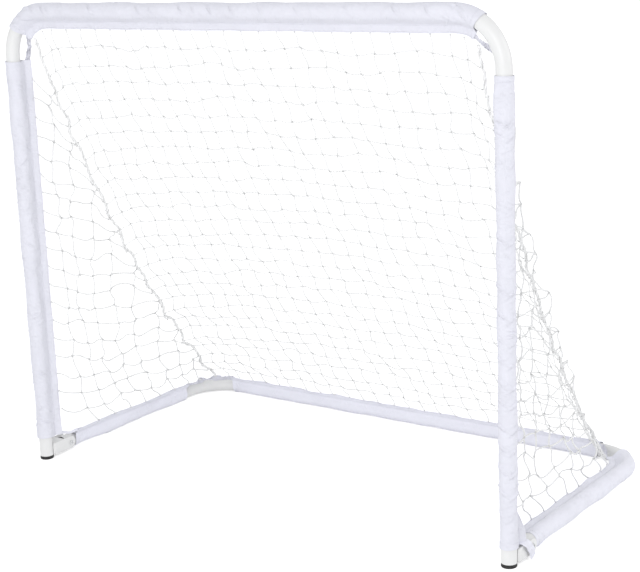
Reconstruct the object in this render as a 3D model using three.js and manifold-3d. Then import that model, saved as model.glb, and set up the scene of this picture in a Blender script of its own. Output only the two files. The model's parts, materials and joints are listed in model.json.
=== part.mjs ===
// Folding youth lacrosse goal: a bent steel front frame and a U-shaped base frame that folds up against
// it, both dressed in fabric sleeves that carry a knotted net. Millimetres, +Z up, the mouth faces -Y.
// The origin is the middle of the goal's footprint on the ground. Left is -X.

import * as THREE from "three";
import { mergeVertices } from "three/addons/utils/BufferGeometryUtils.js";
import Module from "manifold-3d";

// Steel tube, the same on both frames
const tubeDiameter = 31.75;
const tubeWall = 1.5;
const bendRadius = 102;

// Front frame: post centre line to post centre line, and the crossbar's axis above the ground
const postSpacing = 1238.2;
const crossbarHeight = 1051;

// Base frame: the rear bar's axis behind the posts and above the ground
const rearBarReach = 632;
const rearBarHeight = 18;

// Hinge: a rivet through two ears behind each post
const pivotSetback = 64.5;
const pivotHeight = 22;
const earWidth = 29.5;
const earThickness = 2.5;
const earClearance = 0.6;
const saddleWrap = 6;
const rivetDiameter = 8;
const rivetHeadDiameter = 11;
const rivetHeadHeight = 2.2;
const rivetBoreDiameter = 5;
const rivetBoreDepth = 6;
const baseTubeLead = 14;

// Plug joints between the bent tubes and the straight bars
const stubLength = 70;
const spigotLength = 60;
const spigotClearance = 0.35;
const swageLength = 5;

// Spring button that locks a plug joint
const buttonDiameter = 7.2;
const buttonSink = 0.1;
const springThickness = 0.9;
const springWidth = 8;
const springHalfSpread = 11;
const springTail = 6;
const springReach = 26;
const springNose = 2.4;

// Rubber foot
const footHeight = 8;
const footDiameter = 31.8;
const footChamfer = 1.6;
const plugDiameter = 27.8;
const plugLength = 22;

// Fabric sleeves with a two-layer flap along one side
const sleeveEase = 0.8;
const fabricWall = 1.3;
const flapReach = 41;
const flapThickness = 2;
const postFlapTurn = THREE.MathUtils.degToRad(62);
const crossbarFlapTurn = THREE.MathUtils.degToRad(15);
const baseFlapTurn = THREE.MathUtils.degToRad(-48);
const rightBaseFlapTurn = THREE.MathUtils.degToRad(-5);
const postSleeveTopGap = 9;
const leftPostSleeveBottom = 53;
const rightPostSleeveBottom = 39;
const crossbarLeftWrap = THREE.MathUtils.degToRad(52);
const crossbarRightWrap = THREE.MathUtils.degToRad(33);
const leftBaseSleeveStart = 17.5;
const leftBaseSleeveLength = 418;
const rightBaseSleeveStart = 33;
const rightBaseWrap = THREE.MathUtils.degToRad(52);
const rearSleeveLeftWrap = THREE.MathUtils.degToRad(13);

// Binding tape that carries the net round the bare bends
const tapeInset = 21;
const tapeThickness = 2;

// Loose ties at the hinges
const tieWidth = 10;
const tieThickness = 1.6;
const tieClearance = 1.5;

// Net
const twineThickness = 2;
const strandWidth = 3;
const netSeamGap = 1.8;
const cordDiameter = 8;
const cordGap = 1.4;
const leftCordSag = { inward: 34, forward: 62, down: 52 };
const rightCordSag = { inward: 2, forward: 46, down: 39 };
const netSagForward = 15;
const netSagDown = 9;
const netCornerRise = 20;

const runningGap = 0.3;
const overrun = 5;

// Counts
const tubeSides = 18;
const smallSides = 16;
const cordSides = 8;
const bendSteps = 8;
const tapeSteps = 20;
const cordSteps = 16;
const tieSteps = 8;
const settlingPasses = 200;
const pinFade = 6;
const cordPullFade = 4;
const backColumns = 14;
const backRows = 13;
const sideColumns = 6;

const tubeRadius = tubeDiameter / 2;
const tubeBore = tubeRadius - tubeWall;
const spigotRadius = tubeBore - spigotClearance;
const sleeveBore = tubeRadius + sleeveEase;
const sleeveRadius = sleeveBore + fabricWall;
const postX = postSpacing / 2;
const quarterTurn = Math.PI / 2;
const legStart = footHeight + runningGap;
const baseReach = Math.hypot(rearBarReach - pivotSetback, pivotHeight - rearBarHeight);
const baseDroop = Math.asin((pivotHeight - rearBarHeight) / baseReach);

function finish(color, roughness, metalness) {
  return new THREE.MeshStandardMaterial({ color, roughness, metalness });
}
const enamel = () => finish(0xe9eaec, 0.35, 0.1);
const steel = () => finish(0xc9cbcf, 0.35, 0.9);
const rubber = () => finish(0x141414, 0.8, 0);
const fabric = () => finish(0xe8eaf4, 0.75, 0);
const twine = () => finish(0xf2f2f0, 0.9, 0);

const wasm = await Module();
wasm.setup();

// A closed geometry as a solid that can be joined and cut.
function toSolid(geometry) {
  const bare = geometry.clone();
  bare.deleteAttribute("normal");
  bare.deleteAttribute("uv");
  const merged = mergeVertices(bare);
  const mesh = new wasm.Mesh({
    numProp: 3,
    vertProperties: merged.getAttribute("position").array,
    triVerts: new Uint32Array(merged.index.array),
  });
  return new wasm.Manifold(mesh);
}

function toGeometry(solid) {
  const mesh = solid.getMesh();
  const geometry = new THREE.BufferGeometry();
  geometry.setAttribute("position", new THREE.BufferAttribute(mesh.vertProperties, mesh.numProp));
  geometry.setIndex(new THREE.BufferAttribute(mesh.triVerts, 1));
  geometry.computeVertexNormals();
  return geometry;
}

function cut(geometry, ...tools) {
  return toGeometry(tools.reduce((solid, tool) => solid.subtract(toSolid(tool)), toSolid(geometry)));
}

function addPiece(group, name, geometry, material) {
  const mesh = new THREE.Mesh(geometry, material);
  mesh.name = name;
  group.add(mesh);
  return mesh;
}

// The centre line of a bent frame that stands in the XZ plane: up the left leg, round a bend, along the
// bar, round the other bend and down the right leg. Places on it are distances from the left leg's end.
class FrameLine {
  constructor(legBottom, barHeight) {
    this.legBottom = legBottom;
    this.bendBase = barHeight - bendRadius;
    this.leg = this.bendBase - legBottom;
    this.bend = bendRadius * quarterTurn;
    this.barStart = this.leg + this.bend;
    this.barEnd = this.barStart + postSpacing - 2 * bendRadius;
    this.length = this.barEnd + this.bend + this.leg;
  }

  // Heading is the angle of travel from +X towards +Z.
  at(distance) {
    if (distance > this.length / 2) {
      const twin = this.at(this.length - distance);
      return { x: -twin.x, z: twin.z, heading: -twin.heading };
    }
    if (distance <= this.leg) {
      return { x: -postX, z: this.legBottom + distance, heading: quarterTurn };
    }
    const angle = Math.min((distance - this.leg) / bendRadius, quarterTurn);
    return {
      x: -postX + bendRadius * (1 - Math.cos(angle)) + Math.max(distance - this.barStart, 0),
      z: this.bendBase + bendRadius * Math.sin(angle),
      heading: quarterTurn - angle,
    };
  }

  // Unit vectors along the line and, turned about it, away from it: a turn of 0 points into the frame.
  frame(distance, turn) {
    const { heading } = this.at(distance);
    const along = new THREE.Vector3(Math.cos(heading), 0, Math.sin(heading));
    const inward = new THREE.Vector3(Math.sin(heading), 0, -Math.cos(heading));
    const across = new THREE.Vector3(0, 1, 0);
    return {
      along,
      out: inward.clone().multiplyScalar(Math.cos(turn)).addScaledVector(across, Math.sin(turn)),
      side: across.clone().multiplyScalar(Math.cos(turn)).addScaledVector(inward, -Math.sin(turn)),
    };
  }

  // A point beside the line.
  beside(distance, turn, reach) {
    const { x, z } = this.at(distance);
    return new THREE.Vector3(x, 0, z).addScaledVector(this.frame(distance, turn).out, reach);
  }
}

// A stretch of a frame's centre line, with steps only where it bends or its section turns.
class FrameStretch extends THREE.Curve {
  constructor(line, from, to, turnAt, steps = bendSteps) {
    super();
    this.line = line;
    this.turnAt = turnAt;
    const bends = [line.leg, line.barEnd].flatMap((start) =>
      Array.from({ length: steps + 1 }, (_, i) => start + (line.bend * i) / steps),
    );
    this.stops = [from, ...bends.filter((stop) => stop > from + overrun && stop < to - overrun), to];
  }

  get steps() {
    return this.stops.length - 1;
  }

  getUtoTmapping(u) {
    return u;
  }

  getPoint(t) {
    const { x, z } = this.line.at(this.stops[Math.round(t * this.steps)]);
    return new THREE.Vector3(x, 0, z);
  }

  computeFrenetFrames() {
    const frames = this.stops.map((stop) => this.line.frame(stop, this.turnAt(stop)));
    return {
      tangents: frames.map((frame) => frame.along),
      normals: frames.map((frame) => frame.out),
      binormals: frames.map((frame) => frame.side),
    };
  }
}

function sweep(section, stretch) {
  return new THREE.ExtrudeGeometry(section, { extrudePath: stretch, steps: stretch.steps });
}

// Points of an arc about the origin.
function arc(radius, from, to, count) {
  return Array.from({ length: count + 1 }, (_, i) => {
    const angle = from + ((to - from) * i) / count;
    return new THREE.Vector2(radius * Math.cos(angle), radius * Math.sin(angle));
  });
}

function circle(radius, sides) {
  return arc(radius, 0, 2 * Math.PI, sides).slice(0, -1);
}

function tubeSection() {
  const section = new THREE.Shape(circle(tubeRadius, tubeSides));
  section.holes.push(new THREE.Path(circle(tubeBore, tubeSides)));
  return section;
}

// Fabric round the tube, with its flap on the section's +X side.
function sleeveSection() {
  const half = flapThickness / 2;
  const spread = Math.asin(half / sleeveRadius);
  const section = new THREE.Shape([
    ...arc(sleeveRadius, spread, 2 * Math.PI - spread, tubeSides),
    new THREE.Vector2(flapReach, -half),
    new THREE.Vector2(flapReach, half),
  ]);
  section.holes.push(new THREE.Path(circle(sleeveBore, tubeSides)));
  return section;
}

function bandSection(from, to, thickness) {
  return new THREE.Shape([
    new THREE.Vector2(from, -thickness / 2),
    new THREE.Vector2(to, -thickness / 2),
    new THREE.Vector2(to, thickness / 2),
    new THREE.Vector2(from, thickness / 2),
  ]);
}

const alongX = new THREE.Vector3(1, 0, 0);
const alongY = new THREE.Vector3(0, 1, 0);
const alongZ = new THREE.Vector3(0, 0, 1);

function rod(diameter, length, direction) {
  const geometry = new THREE.CylinderGeometry(diameter / 2, diameter / 2, length, smallSides);
  return geometry.applyQuaternion(new THREE.Quaternion().setFromUnitVectors(alongY, direction));
}

// The rod that a hole is cut with: its flat sides clear what goes through by the running gap.
function drill(diameter, length, direction) {
  return rod((diameter + 2 * runningGap) / Math.cos(Math.PI / smallSides), length, direction);
}

// Half the length of a straight bar, to the shoulder where its swaged end begins.
const barHalf = postX - bendRadius - stubLength;
const buttonX = barHalf + spigotLength / 2;

// The hole for a spring button goes through the wall on the frame's +Y side.
function buttonHole(side, height) {
  const hole = drill(buttonDiameter, tubeRadius + overrun, alongY);
  return hole.translate(side * buttonX, (tubeRadius + overrun) / 2, height);
}

// One leg with its bend and the stub that takes the bar's swaged end.
function bentTube(line, side, barHeight, ...holes) {
  const reach = line.barStart + stubLength - runningGap;
  const stretch =
    side < 0
      ? new FrameStretch(line, 0, reach, () => 0)
      : new FrameStretch(line, line.length - reach, line.length, () => 0);
  return cut(sweep(tubeSection(), stretch), buttonHole(side, barHeight), ...holes);
}

// The straight bar, drawn down at both ends to plug into the bent tubes.
function barTube(barHeight) {
  const shoulder = barHalf - swageLength;
  const end = barHalf + spigotLength;
  const half = [
    [tubeRadius, shoulder],
    [spigotRadius, barHalf],
    [spigotRadius, end],
    [spigotRadius - tubeWall, end],
    [spigotRadius - tubeWall, barHalf],
    [tubeBore, shoulder],
  ];
  const mirrored = half.map(([radius, place]) => [radius, -place]).reverse();
  const loop = [...half, ...mirrored, half[0]];
  const profile = loop.map(([radius, place]) => new THREE.Vector2(radius, place));
  const tube = new THREE.LatheGeometry(profile, tubeSides);
  tube.rotateZ(-quarterTurn);
  tube.translate(0, 0, barHeight);
  return cut(tube, buttonHole(-1, barHeight), buttonHole(1, barHeight));
}

// A button on a folded leaf spring inside the plug joint.
function snapButton(side, barHeight) {
  const leaf = new THREE.Shape([
    new THREE.Vector2(-springTail, springHalfSpread),
    new THREE.Vector2(-springTail, springHalfSpread - springThickness),
    new THREE.Vector2(springReach - springNose, 0),
    new THREE.Vector2(-springTail, springThickness - springHalfSpread),
    new THREE.Vector2(-springTail, -springHalfSpread),
    new THREE.Vector2(springReach, 0),
  ]);
  const spring = new THREE.ExtrudeGeometry(leaf, { depth: springWidth, bevelEnabled: false });
  spring.translate(0, 0, -springWidth / 2);
  const armHeight = (springHalfSpread * springReach) / (springReach + springTail);
  const bottom = armHeight - springThickness;
  const top = tubeRadius - buttonSink;
  const button = rod(buttonDiameter, top - bottom, alongY).translate(0, (top + bottom) / 2, 0);
  const joined = toGeometry(toSolid(spring).add(toSolid(button)));
  if (side > 0) joined.rotateY(Math.PI);
  return joined.translate(side * buttonX, 0, barHeight);
}

// Cap under the post, with a plug that grips inside the tube.
function footCap() {
  const foot = footDiameter / 2;
  const plug = plugDiameter / 2;
  const profile = [
    [0, 0],
    [foot - footChamfer, 0],
    [foot, footChamfer],
    [foot, footHeight],
    [plug, footHeight],
    [plug, footHeight + plugLength - footChamfer],
    [plug - footChamfer, footHeight + plugLength],
    [0, footHeight + plugLength],
  ];
  const points = profile.map(([radius, height]) => new THREE.Vector2(radius, height));
  return new THREE.LatheGeometry(points, tubeSides).rotateX(quarterTurn);
}

// A channel with two ears, coped to sit against the back of the post.
function hingeBracket() {
  const inner = tubeRadius + earClearance;
  const outer = inner + earThickness;
  const front = tubeRadius - saddleWrap;
  const web = tubeRadius + runningGap + earThickness;
  const end = pivotSetback + earWidth / 2;
  const channel = new THREE.Shape([
    new THREE.Vector2(-outer, front),
    new THREE.Vector2(outer, front),
    new THREE.Vector2(outer, end + overrun),
    new THREE.Vector2(inner, end + overrun),
    new THREE.Vector2(inner, web),
    new THREE.Vector2(-inner, web),
    new THREE.Vector2(-inner, end + overrun),
    new THREE.Vector2(-outer, end + overrun),
  ]);
  const blank = new THREE.ExtrudeGeometry(channel, { depth: earWidth, bevelEnabled: false });
  blank.translate(0, 0, pivotHeight - earWidth / 2);

  const nose = arc(earWidth / 2, -quarterTurn, quarterTurn, smallSides);
  const outline = new THREE.Shape([
    ...nose.map((point) => new THREE.Vector2(point.x + pivotSetback, point.y + pivotHeight)),
    new THREE.Vector2(0, pivotHeight + earWidth / 2),
    new THREE.Vector2(0, pivotHeight - earWidth / 2),
  ]);
  const depth = 2 * (outer + overrun);
  const side = new THREE.ExtrudeGeometry(outline, { depth, bevelEnabled: false });
  side.translate(0, 0, -depth / 2);
  side.rotateY(quarterTurn).rotateX(quarterTurn);

  const post = drill(tubeDiameter, 2 * crossbarHeight, alongZ);
  const hole = drill(rivetDiameter, depth, alongX).translate(0, pivotSetback, pivotHeight);
  const trimmed = toGeometry(toSolid(blank).intersect(toSolid(side)));
  return cut(trimmed, post, hole);
}

// Hollow rivet along X, its open end outwards.
function hingeRivet() {
  const shank = rivetDiameter / 2;
  const head = rivetHeadDiameter / 2;
  const seat = tubeRadius + earClearance + earThickness + runningGap;
  const face = seat + rivetHeadHeight;
  const dome = rivetHeadHeight / 2;
  const profile = [
    [0, -face],
    [head - dome, -face],
    [head, -face + dome],
    [head, -seat],
    [shank, -seat],
    [shank, seat],
    [head, seat],
    [head, face - dome],
    [head - dome, face],
    [rivetBoreDiameter / 2, face],
    [rivetBoreDiameter / 2, face - rivetBoreDepth],
    [0, face - rivetBoreDepth],
  ];
  const points = profile.map(([radius, place]) => new THREE.Vector2(radius, place));
  return new THREE.LatheGeometry(points, smallSides).rotateZ(-quarterTurn);
}

// The front frame's line, and the same kind of line for the base, stood up as if folded.
const frontLine = new FrameLine(legStart, crossbarHeight);
const baseLine = new FrameLine(-baseTubeLead, baseReach);

// Places on the front line where fabric begins and ends.
const leftTopOfPost = frontLine.leg - postSleeveTopGap;
const rightTopOfPost = frontLine.length - leftTopOfPost;
const crossbarSleeveStart = frontLine.barStart - bendRadius * crossbarLeftWrap;
const crossbarSleeveEnd = frontLine.barEnd + bendRadius * crossbarRightWrap;

// Places on the base line.
const leftBaseFrom = baseTubeLead + leftBaseSleeveStart;
const leftBaseTo = leftBaseFrom + leftBaseSleeveLength;
const rearFrom = baseLine.barStart - bendRadius * rearSleeveLeftWrap;
const rearTo = baseLine.barEnd;
const rightBaseTo = baseLine.length - baseTubeLead - rightBaseSleeveStart;
const rightBaseFrom = baseLine.length - baseLine.leg - bendRadius * rightBaseWrap;

// The front flaps turn from the post's direction to the crossbar's over the bare bends.
function frontTurn(distance) {
  const onLeft = THREE.MathUtils.smoothstep(distance, leftTopOfPost, crossbarSleeveStart);
  const onRight = 1 - THREE.MathUtils.smoothstep(distance, crossbarSleeveEnd, rightTopOfPost);
  return THREE.MathUtils.lerp(postFlapTurn, crossbarFlapTurn, Math.min(onLeft, onRight));
}

// The base flaps stand up towards the crossbar, but on the right tube the flap lies flat: it turns over
// the rear right bend.
function baseTurn(distance) {
  const onRight = THREE.MathUtils.smoothstep(distance, rearTo, rightBaseFrom);
  return THREE.MathUtils.lerp(baseFlapTurn, rightBaseFlapTurn, onRight);
}

function sleeve(line, from, to, turnAt) {
  const turn = turnAt((from + to) / 2);
  return sweep(sleeveSection(), new FrameStretch(line, from, to, () => turn));
}

function cornerTape(line, from, to, turnAt) {
  const section = bandSection(tapeInset, flapReach, tapeThickness);
  return sweep(section, new FrameStretch(line, from + runningGap, to - runningGap, turnAt, tapeSteps));
}

const goal = new THREE.Group();
goal.position.y = -rearBarReach / 2;

const frontFrame = new THREE.Group();
goal.add(frontFrame);

// The base frame is drawn standing at the pivots and laid back on the ground.
const baseFrame = new THREE.Group();
baseFrame.position.set(0, pivotSetback, pivotHeight);
baseFrame.rotation.x = -quarterTurn - baseDroop;
baseFrame.updateMatrix();
goal.add(baseFrame);

const net = new THREE.Group();
goal.add(net);

// Steelwork
const pivotHole = (side) => drill(rivetDiameter, tubeDiameter + overrun, alongX).translate(side * postX, 0, 0);

for (const [side, hand] of [
  [-1, "left"],
  [1, "right"],
]) {
  addPiece(frontFrame, hand + "_post_tube", bentTube(frontLine, side, crossbarHeight), enamel());
  addPiece(frontFrame, "top_" + hand + "_snap_button", snapButton(side, crossbarHeight), steel());
  addPiece(frontFrame, hand + "_foot_cap", footCap(), rubber()).position.x = side * postX;
  addPiece(frontFrame, hand + "_hinge_bracket", hingeBracket(), enamel()).position.x = side * postX;
  const rivet = addPiece(frontFrame, hand + "_hinge_rivet", hingeRivet(), steel());
  rivet.position.set(side * postX, pivotSetback, pivotHeight);
  if (side < 0) rivet.rotation.y = Math.PI;

  addPiece(baseFrame, hand + "_base_tube", bentTube(baseLine, side, baseReach, pivotHole(side)), enamel());
  addPiece(baseFrame, "rear_" + hand + "_snap_button", snapButton(side, baseReach), steel());
}
addPiece(frontFrame, "crossbar_tube", barTube(crossbarHeight), enamel());
addPiece(baseFrame, "rear_bar_tube", barTube(baseReach), enamel());

// Sleeves and tape
for (const [name, from, to] of [
  ["left_post_sleeve", leftPostSleeveBottom - legStart, leftTopOfPost],
  ["crossbar_sleeve", crossbarSleeveStart, crossbarSleeveEnd],
  ["right_post_sleeve", rightTopOfPost, frontLine.length + legStart - rightPostSleeveBottom],
]) {
  addPiece(frontFrame, name, sleeve(frontLine, from, to, frontTurn), fabric());
}
for (const [name, from, to] of [
  ["top_left_corner_tape", leftTopOfPost, crossbarSleeveStart],
  ["top_right_corner_tape", crossbarSleeveEnd, rightTopOfPost],
]) {
  addPiece(frontFrame, name, cornerTape(frontLine, from, to, frontTurn), fabric());
}
for (const [name, from, to] of [
  ["left_base_sleeve", leftBaseFrom, leftBaseTo],
  ["rear_bar_sleeve", rearFrom, rearTo],
  ["right_base_sleeve", rightBaseFrom, rightBaseTo],
]) {
  addPiece(baseFrame, name, sleeve(baseLine, from, to, baseTurn), fabric());
}
for (const [name, from, to] of [
  ["rear_left_corner_tape", leftBaseTo, rearFrom],
  ["rear_right_corner_tape", rearTo, rightBaseFrom],
]) {
  addPiece(baseFrame, name, cornerTape(baseLine, from, to, baseTurn), fabric());
}

// A point just beyond the flaps' edge, where the net is sewn on. The distance runs from the end of the leg
// on the given side.
function frontEdge(side, distance, beyond) {
  const place = side < 0 ? distance : frontLine.length - distance;
  return frontLine.beside(place, frontTurn(place), flapReach + beyond);
}

function baseEdge(side, distance, beyond) {
  const place = side < 0 ? distance : baseLine.length - distance;
  return baseLine.beside(place, baseTurn(place), flapReach + beyond).applyMatrix4(baseFrame.matrix);
}

// A tie is a flat band along a curve, its width held as near as can be to one direction.
class BandCurve extends THREE.CatmullRomCurve3 {
  constructor(points, width) {
    super(points);
    this.width = width;
  }

  computeFrenetFrames(segments) {
    const tangents = Array.from({ length: segments + 1 }, (_, i) => this.getTangentAt(i / segments));
    const binormals = tangents.map((along) => along.clone().cross(this.width).normalize());
    const normals = tangents.map((along, i) => binormals[i].clone().cross(along));
    return { tangents, normals, binormals };
  }
}

function tie(points) {
  const route = new BandCurve(points, new THREE.Vector3(0, 1, 0));
  const section = bandSection(-tieWidth / 2, tieWidth / 2, tieThickness);
  return new THREE.ExtrudeGeometry(section, { extrudePath: route, steps: tieSteps });
}

// The right tie starts behind the post flap, crosses over the ears and hangs beside them.
const flapTip = frontLine.beside(0, postFlapTurn, flapReach);
const earTop = pivotHeight + earWidth / 2;
const tieOver = earTop + tieThickness / 2 + tieClearance;
const earSide = postX + tubeRadius + earClearance + earThickness;
const tieBeside = earSide + rivetHeadHeight + tieThickness / 2 + tieClearance;
const tieLine = flapTip.y + (flapThickness + tieWidth) / 2;
const rightTieRoute = [
  new THREE.Vector3(-flapTip.x, tieLine, tieOver + tieWidth),
  new THREE.Vector3(-flapTip.x + tieWidth, tieLine, tieOver + tieWidth / 2),
  new THREE.Vector3(postX, tieLine, tieOver),
  new THREE.Vector3(earSide, tieLine + tieThickness, tieOver + tieThickness),
  new THREE.Vector3(tieBeside, tieLine + tieWidth / 2, earTop - tieWidth / 2),
  new THREE.Vector3(tieBeside, tieLine + tieWidth, pivotHeight - tieWidth / 2),
  new THREE.Vector3(tieBeside, tieLine + tieWidth + tieThickness, tieWidth / 2),
];
addPiece(net, "right_lower_tie", tie(rightTieRoute), fabric());

// The left tie joins the post flap's lower corner to the front of the base sleeve's flap.
const leftFlapFront = baseLine
  .beside(leftBaseFrom - runningGap - tieThickness / 2, baseFlapTurn, flapReach - tieWidth / 2)
  .applyMatrix4(baseFrame.matrix);
const leftTieRoute = [
  new THREE.Vector3(flapTip.x, flapTip.y + tieThickness, leftPostSleeveBottom),
  new THREE.Vector3(flapTip.x + tieThickness, flapTip.y + tieWidth, leftPostSleeveBottom + tieThickness),
  new THREE.Vector3(leftFlapFront.x - tieThickness, leftFlapFront.y - tieWidth, leftPostSleeveBottom),
  leftFlapFront,
];
addPiece(net, "left_lower_tie", tie(leftTieRoute), fabric());

// Lets the knots inside a net settle evenly between their neighbours; the border's knots stay.
function settle(knots, gaps) {
  const neighbours = knots.map(() => new Set());
  const edges = new Map();
  for (const gap of gaps) {
    gap.forEach((knot, k) => {
      const next = gap[(k + 1) % gap.length];
      neighbours[knot].add(next);
      neighbours[next].add(knot);
      const edge = Math.min(knot, next) + "," + Math.max(knot, next);
      edges.set(edge, (edges.get(edge) ?? 0) + 1);
    });
  }
  const border = new Set();
  for (const [edge, uses] of edges) {
    if (uses === 1) edge.split(",").forEach((knot) => border.add(Number(knot)));
  }
  for (let pass = 0; pass < settlingPasses; pass += 1) {
    knots.forEach((knot, i) => {
      if (border.has(i)) return;
      knot.set(0, 0, 0);
      neighbours[i].forEach((other) => knot.addScaledVector(knots[other], 1 / neighbours[i].size));
    });
  }
}

// A net panel is one solid: its knots are given, and each gap is a loop of knots, all turned one way.
// The strands are what is left between the gaps.
function netSolid(knots, gaps) {
  const normals = knots.map(() => new THREE.Vector3());
  const faceNormals = gaps.map((gap) => {
    const diagonal = knots[gap[2]].clone().sub(knots[gap[0]]);
    const other = knots[gap[gap.length - 1]].clone().sub(knots[gap[1]]);
    return diagonal.cross(other).normalize();
  });
  gaps.forEach((gap, i) => gap.forEach((knot) => normals[knot].add(faceNormals[i])));
  normals.forEach((normal) => normal.normalize());

  const positions = [];
  const faces = [];
  const pair = (point, normal) => {
    for (const sign of [1, -1]) {
      positions.push(...point.clone().addScaledVector(normal, (sign * twineThickness) / 2));
    }
    return positions.length / 3 - 2;
  };
  const quad = (a, b, c, d) => faces.push(a, b, c, a, c, d);

  const corners = knots.map((knot, i) => pair(knot, normals[i]));
  const borders = new Map();
  for (const gap of gaps) {
    const inner = gap.map((knot, k) => {
      const next = knots[gap[(k + 1) % gap.length]].clone().sub(knots[knot]).normalize();
      const last = knots[gap[(k + gap.length - 1) % gap.length]].clone().sub(knots[knot]).normalize();
      const step = strandWidth / 2 / Math.sin(next.angleTo(last));
      return pair(next.add(last).multiplyScalar(step).add(knots[knot]), normals[knot]);
    });
    gap.forEach((knot, k) => {
      const next = (k + 1) % gap.length;
      const [a, b] = [corners[knot], corners[gap[next]]];
      const [c, d] = [inner[next], inner[k]];
      quad(a, b, c, d);
      quad(d + 1, c + 1, b + 1, a + 1);
      quad(d, c, c + 1, d + 1);
      if (!borders.delete(gap[next] + "," + knot)) borders.set(knot + "," + gap[next], [a, b]);
    });
  }
  for (const [a, b] of borders.values()) quad(a, a + 1, b + 1, b);

  const geometry = new THREE.BufferGeometry();
  geometry.setAttribute("position", new THREE.Float32BufferAttribute(positions, 3));
  geometry.setIndex(faces);
  return geometry;
}

// The border cords run from the top corners to the rear corners and sag a little.
const topCorner = frontLine.leg + frontLine.bend / 2;
const rearCorner = baseLine.leg + baseLine.bend / 2;
const cordRadius = cordDiameter / 2;
const cordSeat = runningGap + cordRadius;

function borderCurve(side) {
  const top = frontEdge(side, topCorner, cordSeat);
  const rear = baseEdge(side, rearCorner, cordSeat);
  const middle = top.clone().add(rear).divideScalar(2);
  const sag = side < 0 ? leftCordSag : rightCordSag;
  middle.addScaledVector(new THREE.Vector3(-side * sag.inward, -sag.forward, -sag.down), 2);
  return new THREE.QuadraticBezierCurve3(top, middle, rear);
}

for (const [side, hand] of [
  [-1, "left"],
  [1, "right"],
]) {
  const section = new THREE.Shape(circle(cordRadius, cordSides));
  const cord = new THREE.ExtrudeGeometry(section, { extrudePath: borderCurve(side), steps: cordSteps });
  addPiece(net, hand + "_border_cord", cord, twine());
}

// Moves a boundary's ends onto shared corners, fading out along it.
function pinned(curve, first, last) {
  const startShift = first.clone().sub(curve(0));
  const endShift = last.clone().sub(curve(1));
  return (t) =>
    curve(t)
      .addScaledVector(startShift, (1 - t) ** pinFade)
      .addScaledVector(endShift, t ** pinFade);
}

// Back net: a four-sided panel between the crossbar, the rear bar and the border cords.
function backNet() {
  const beside = cordRadius + cordGap;
  const left = (t) => borderCurve(-1).getPoint(t).add(new THREE.Vector3(beside, 0, 0));
  const right = (t) => borderCurve(1).getPoint(t).add(new THREE.Vector3(-beside, 0, 0));
  const lerp = THREE.MathUtils.lerp;
  const topLine = (t) => frontEdge(-1, lerp(topCorner, frontLine.length - topCorner, t), netSeamGap);
  const rearLine = (t) => baseEdge(-1, lerp(rearCorner, baseLine.length - rearCorner, t), netSeamGap);
  const top = pinned(topLine, left(0), right(0));
  const rear = pinned(rearLine, left(1), right(1));
  const drawnIn = (border, v) => border(v).sub(border(0).lerp(border(1), v));
  const knotAt = (u, v) => {
    const byLeft = (1 - u) ** cordPullFade;
    const byRight = u ** cordPullFade;
    const hang = (1 - byLeft - byRight) * Math.sin(Math.PI * v);
    const point = top(u).lerp(rear(u), v);
    point.addScaledVector(drawnIn(left, v), byLeft).addScaledVector(drawnIn(right, v), byRight);
    return point.add(new THREE.Vector3(0, -netSagForward * hang, -netSagDown * hang));
  };
  const knots = [];
  const gaps = [];
  const index = (i, j) => i + j * (backColumns + 1);
  for (let j = 0; j <= backRows; j += 1) {
    for (let i = 0; i <= backColumns; i += 1) {
      knots.push(knotAt(i / backColumns, j / backRows));
      if (i < backColumns && j < backRows) {
        gaps.push([index(i, j), index(i, j + 1), index(i + 1, j + 1), index(i + 1, j)]);
      }
    }
  }
  return netSolid(knots, gaps);
}

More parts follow.
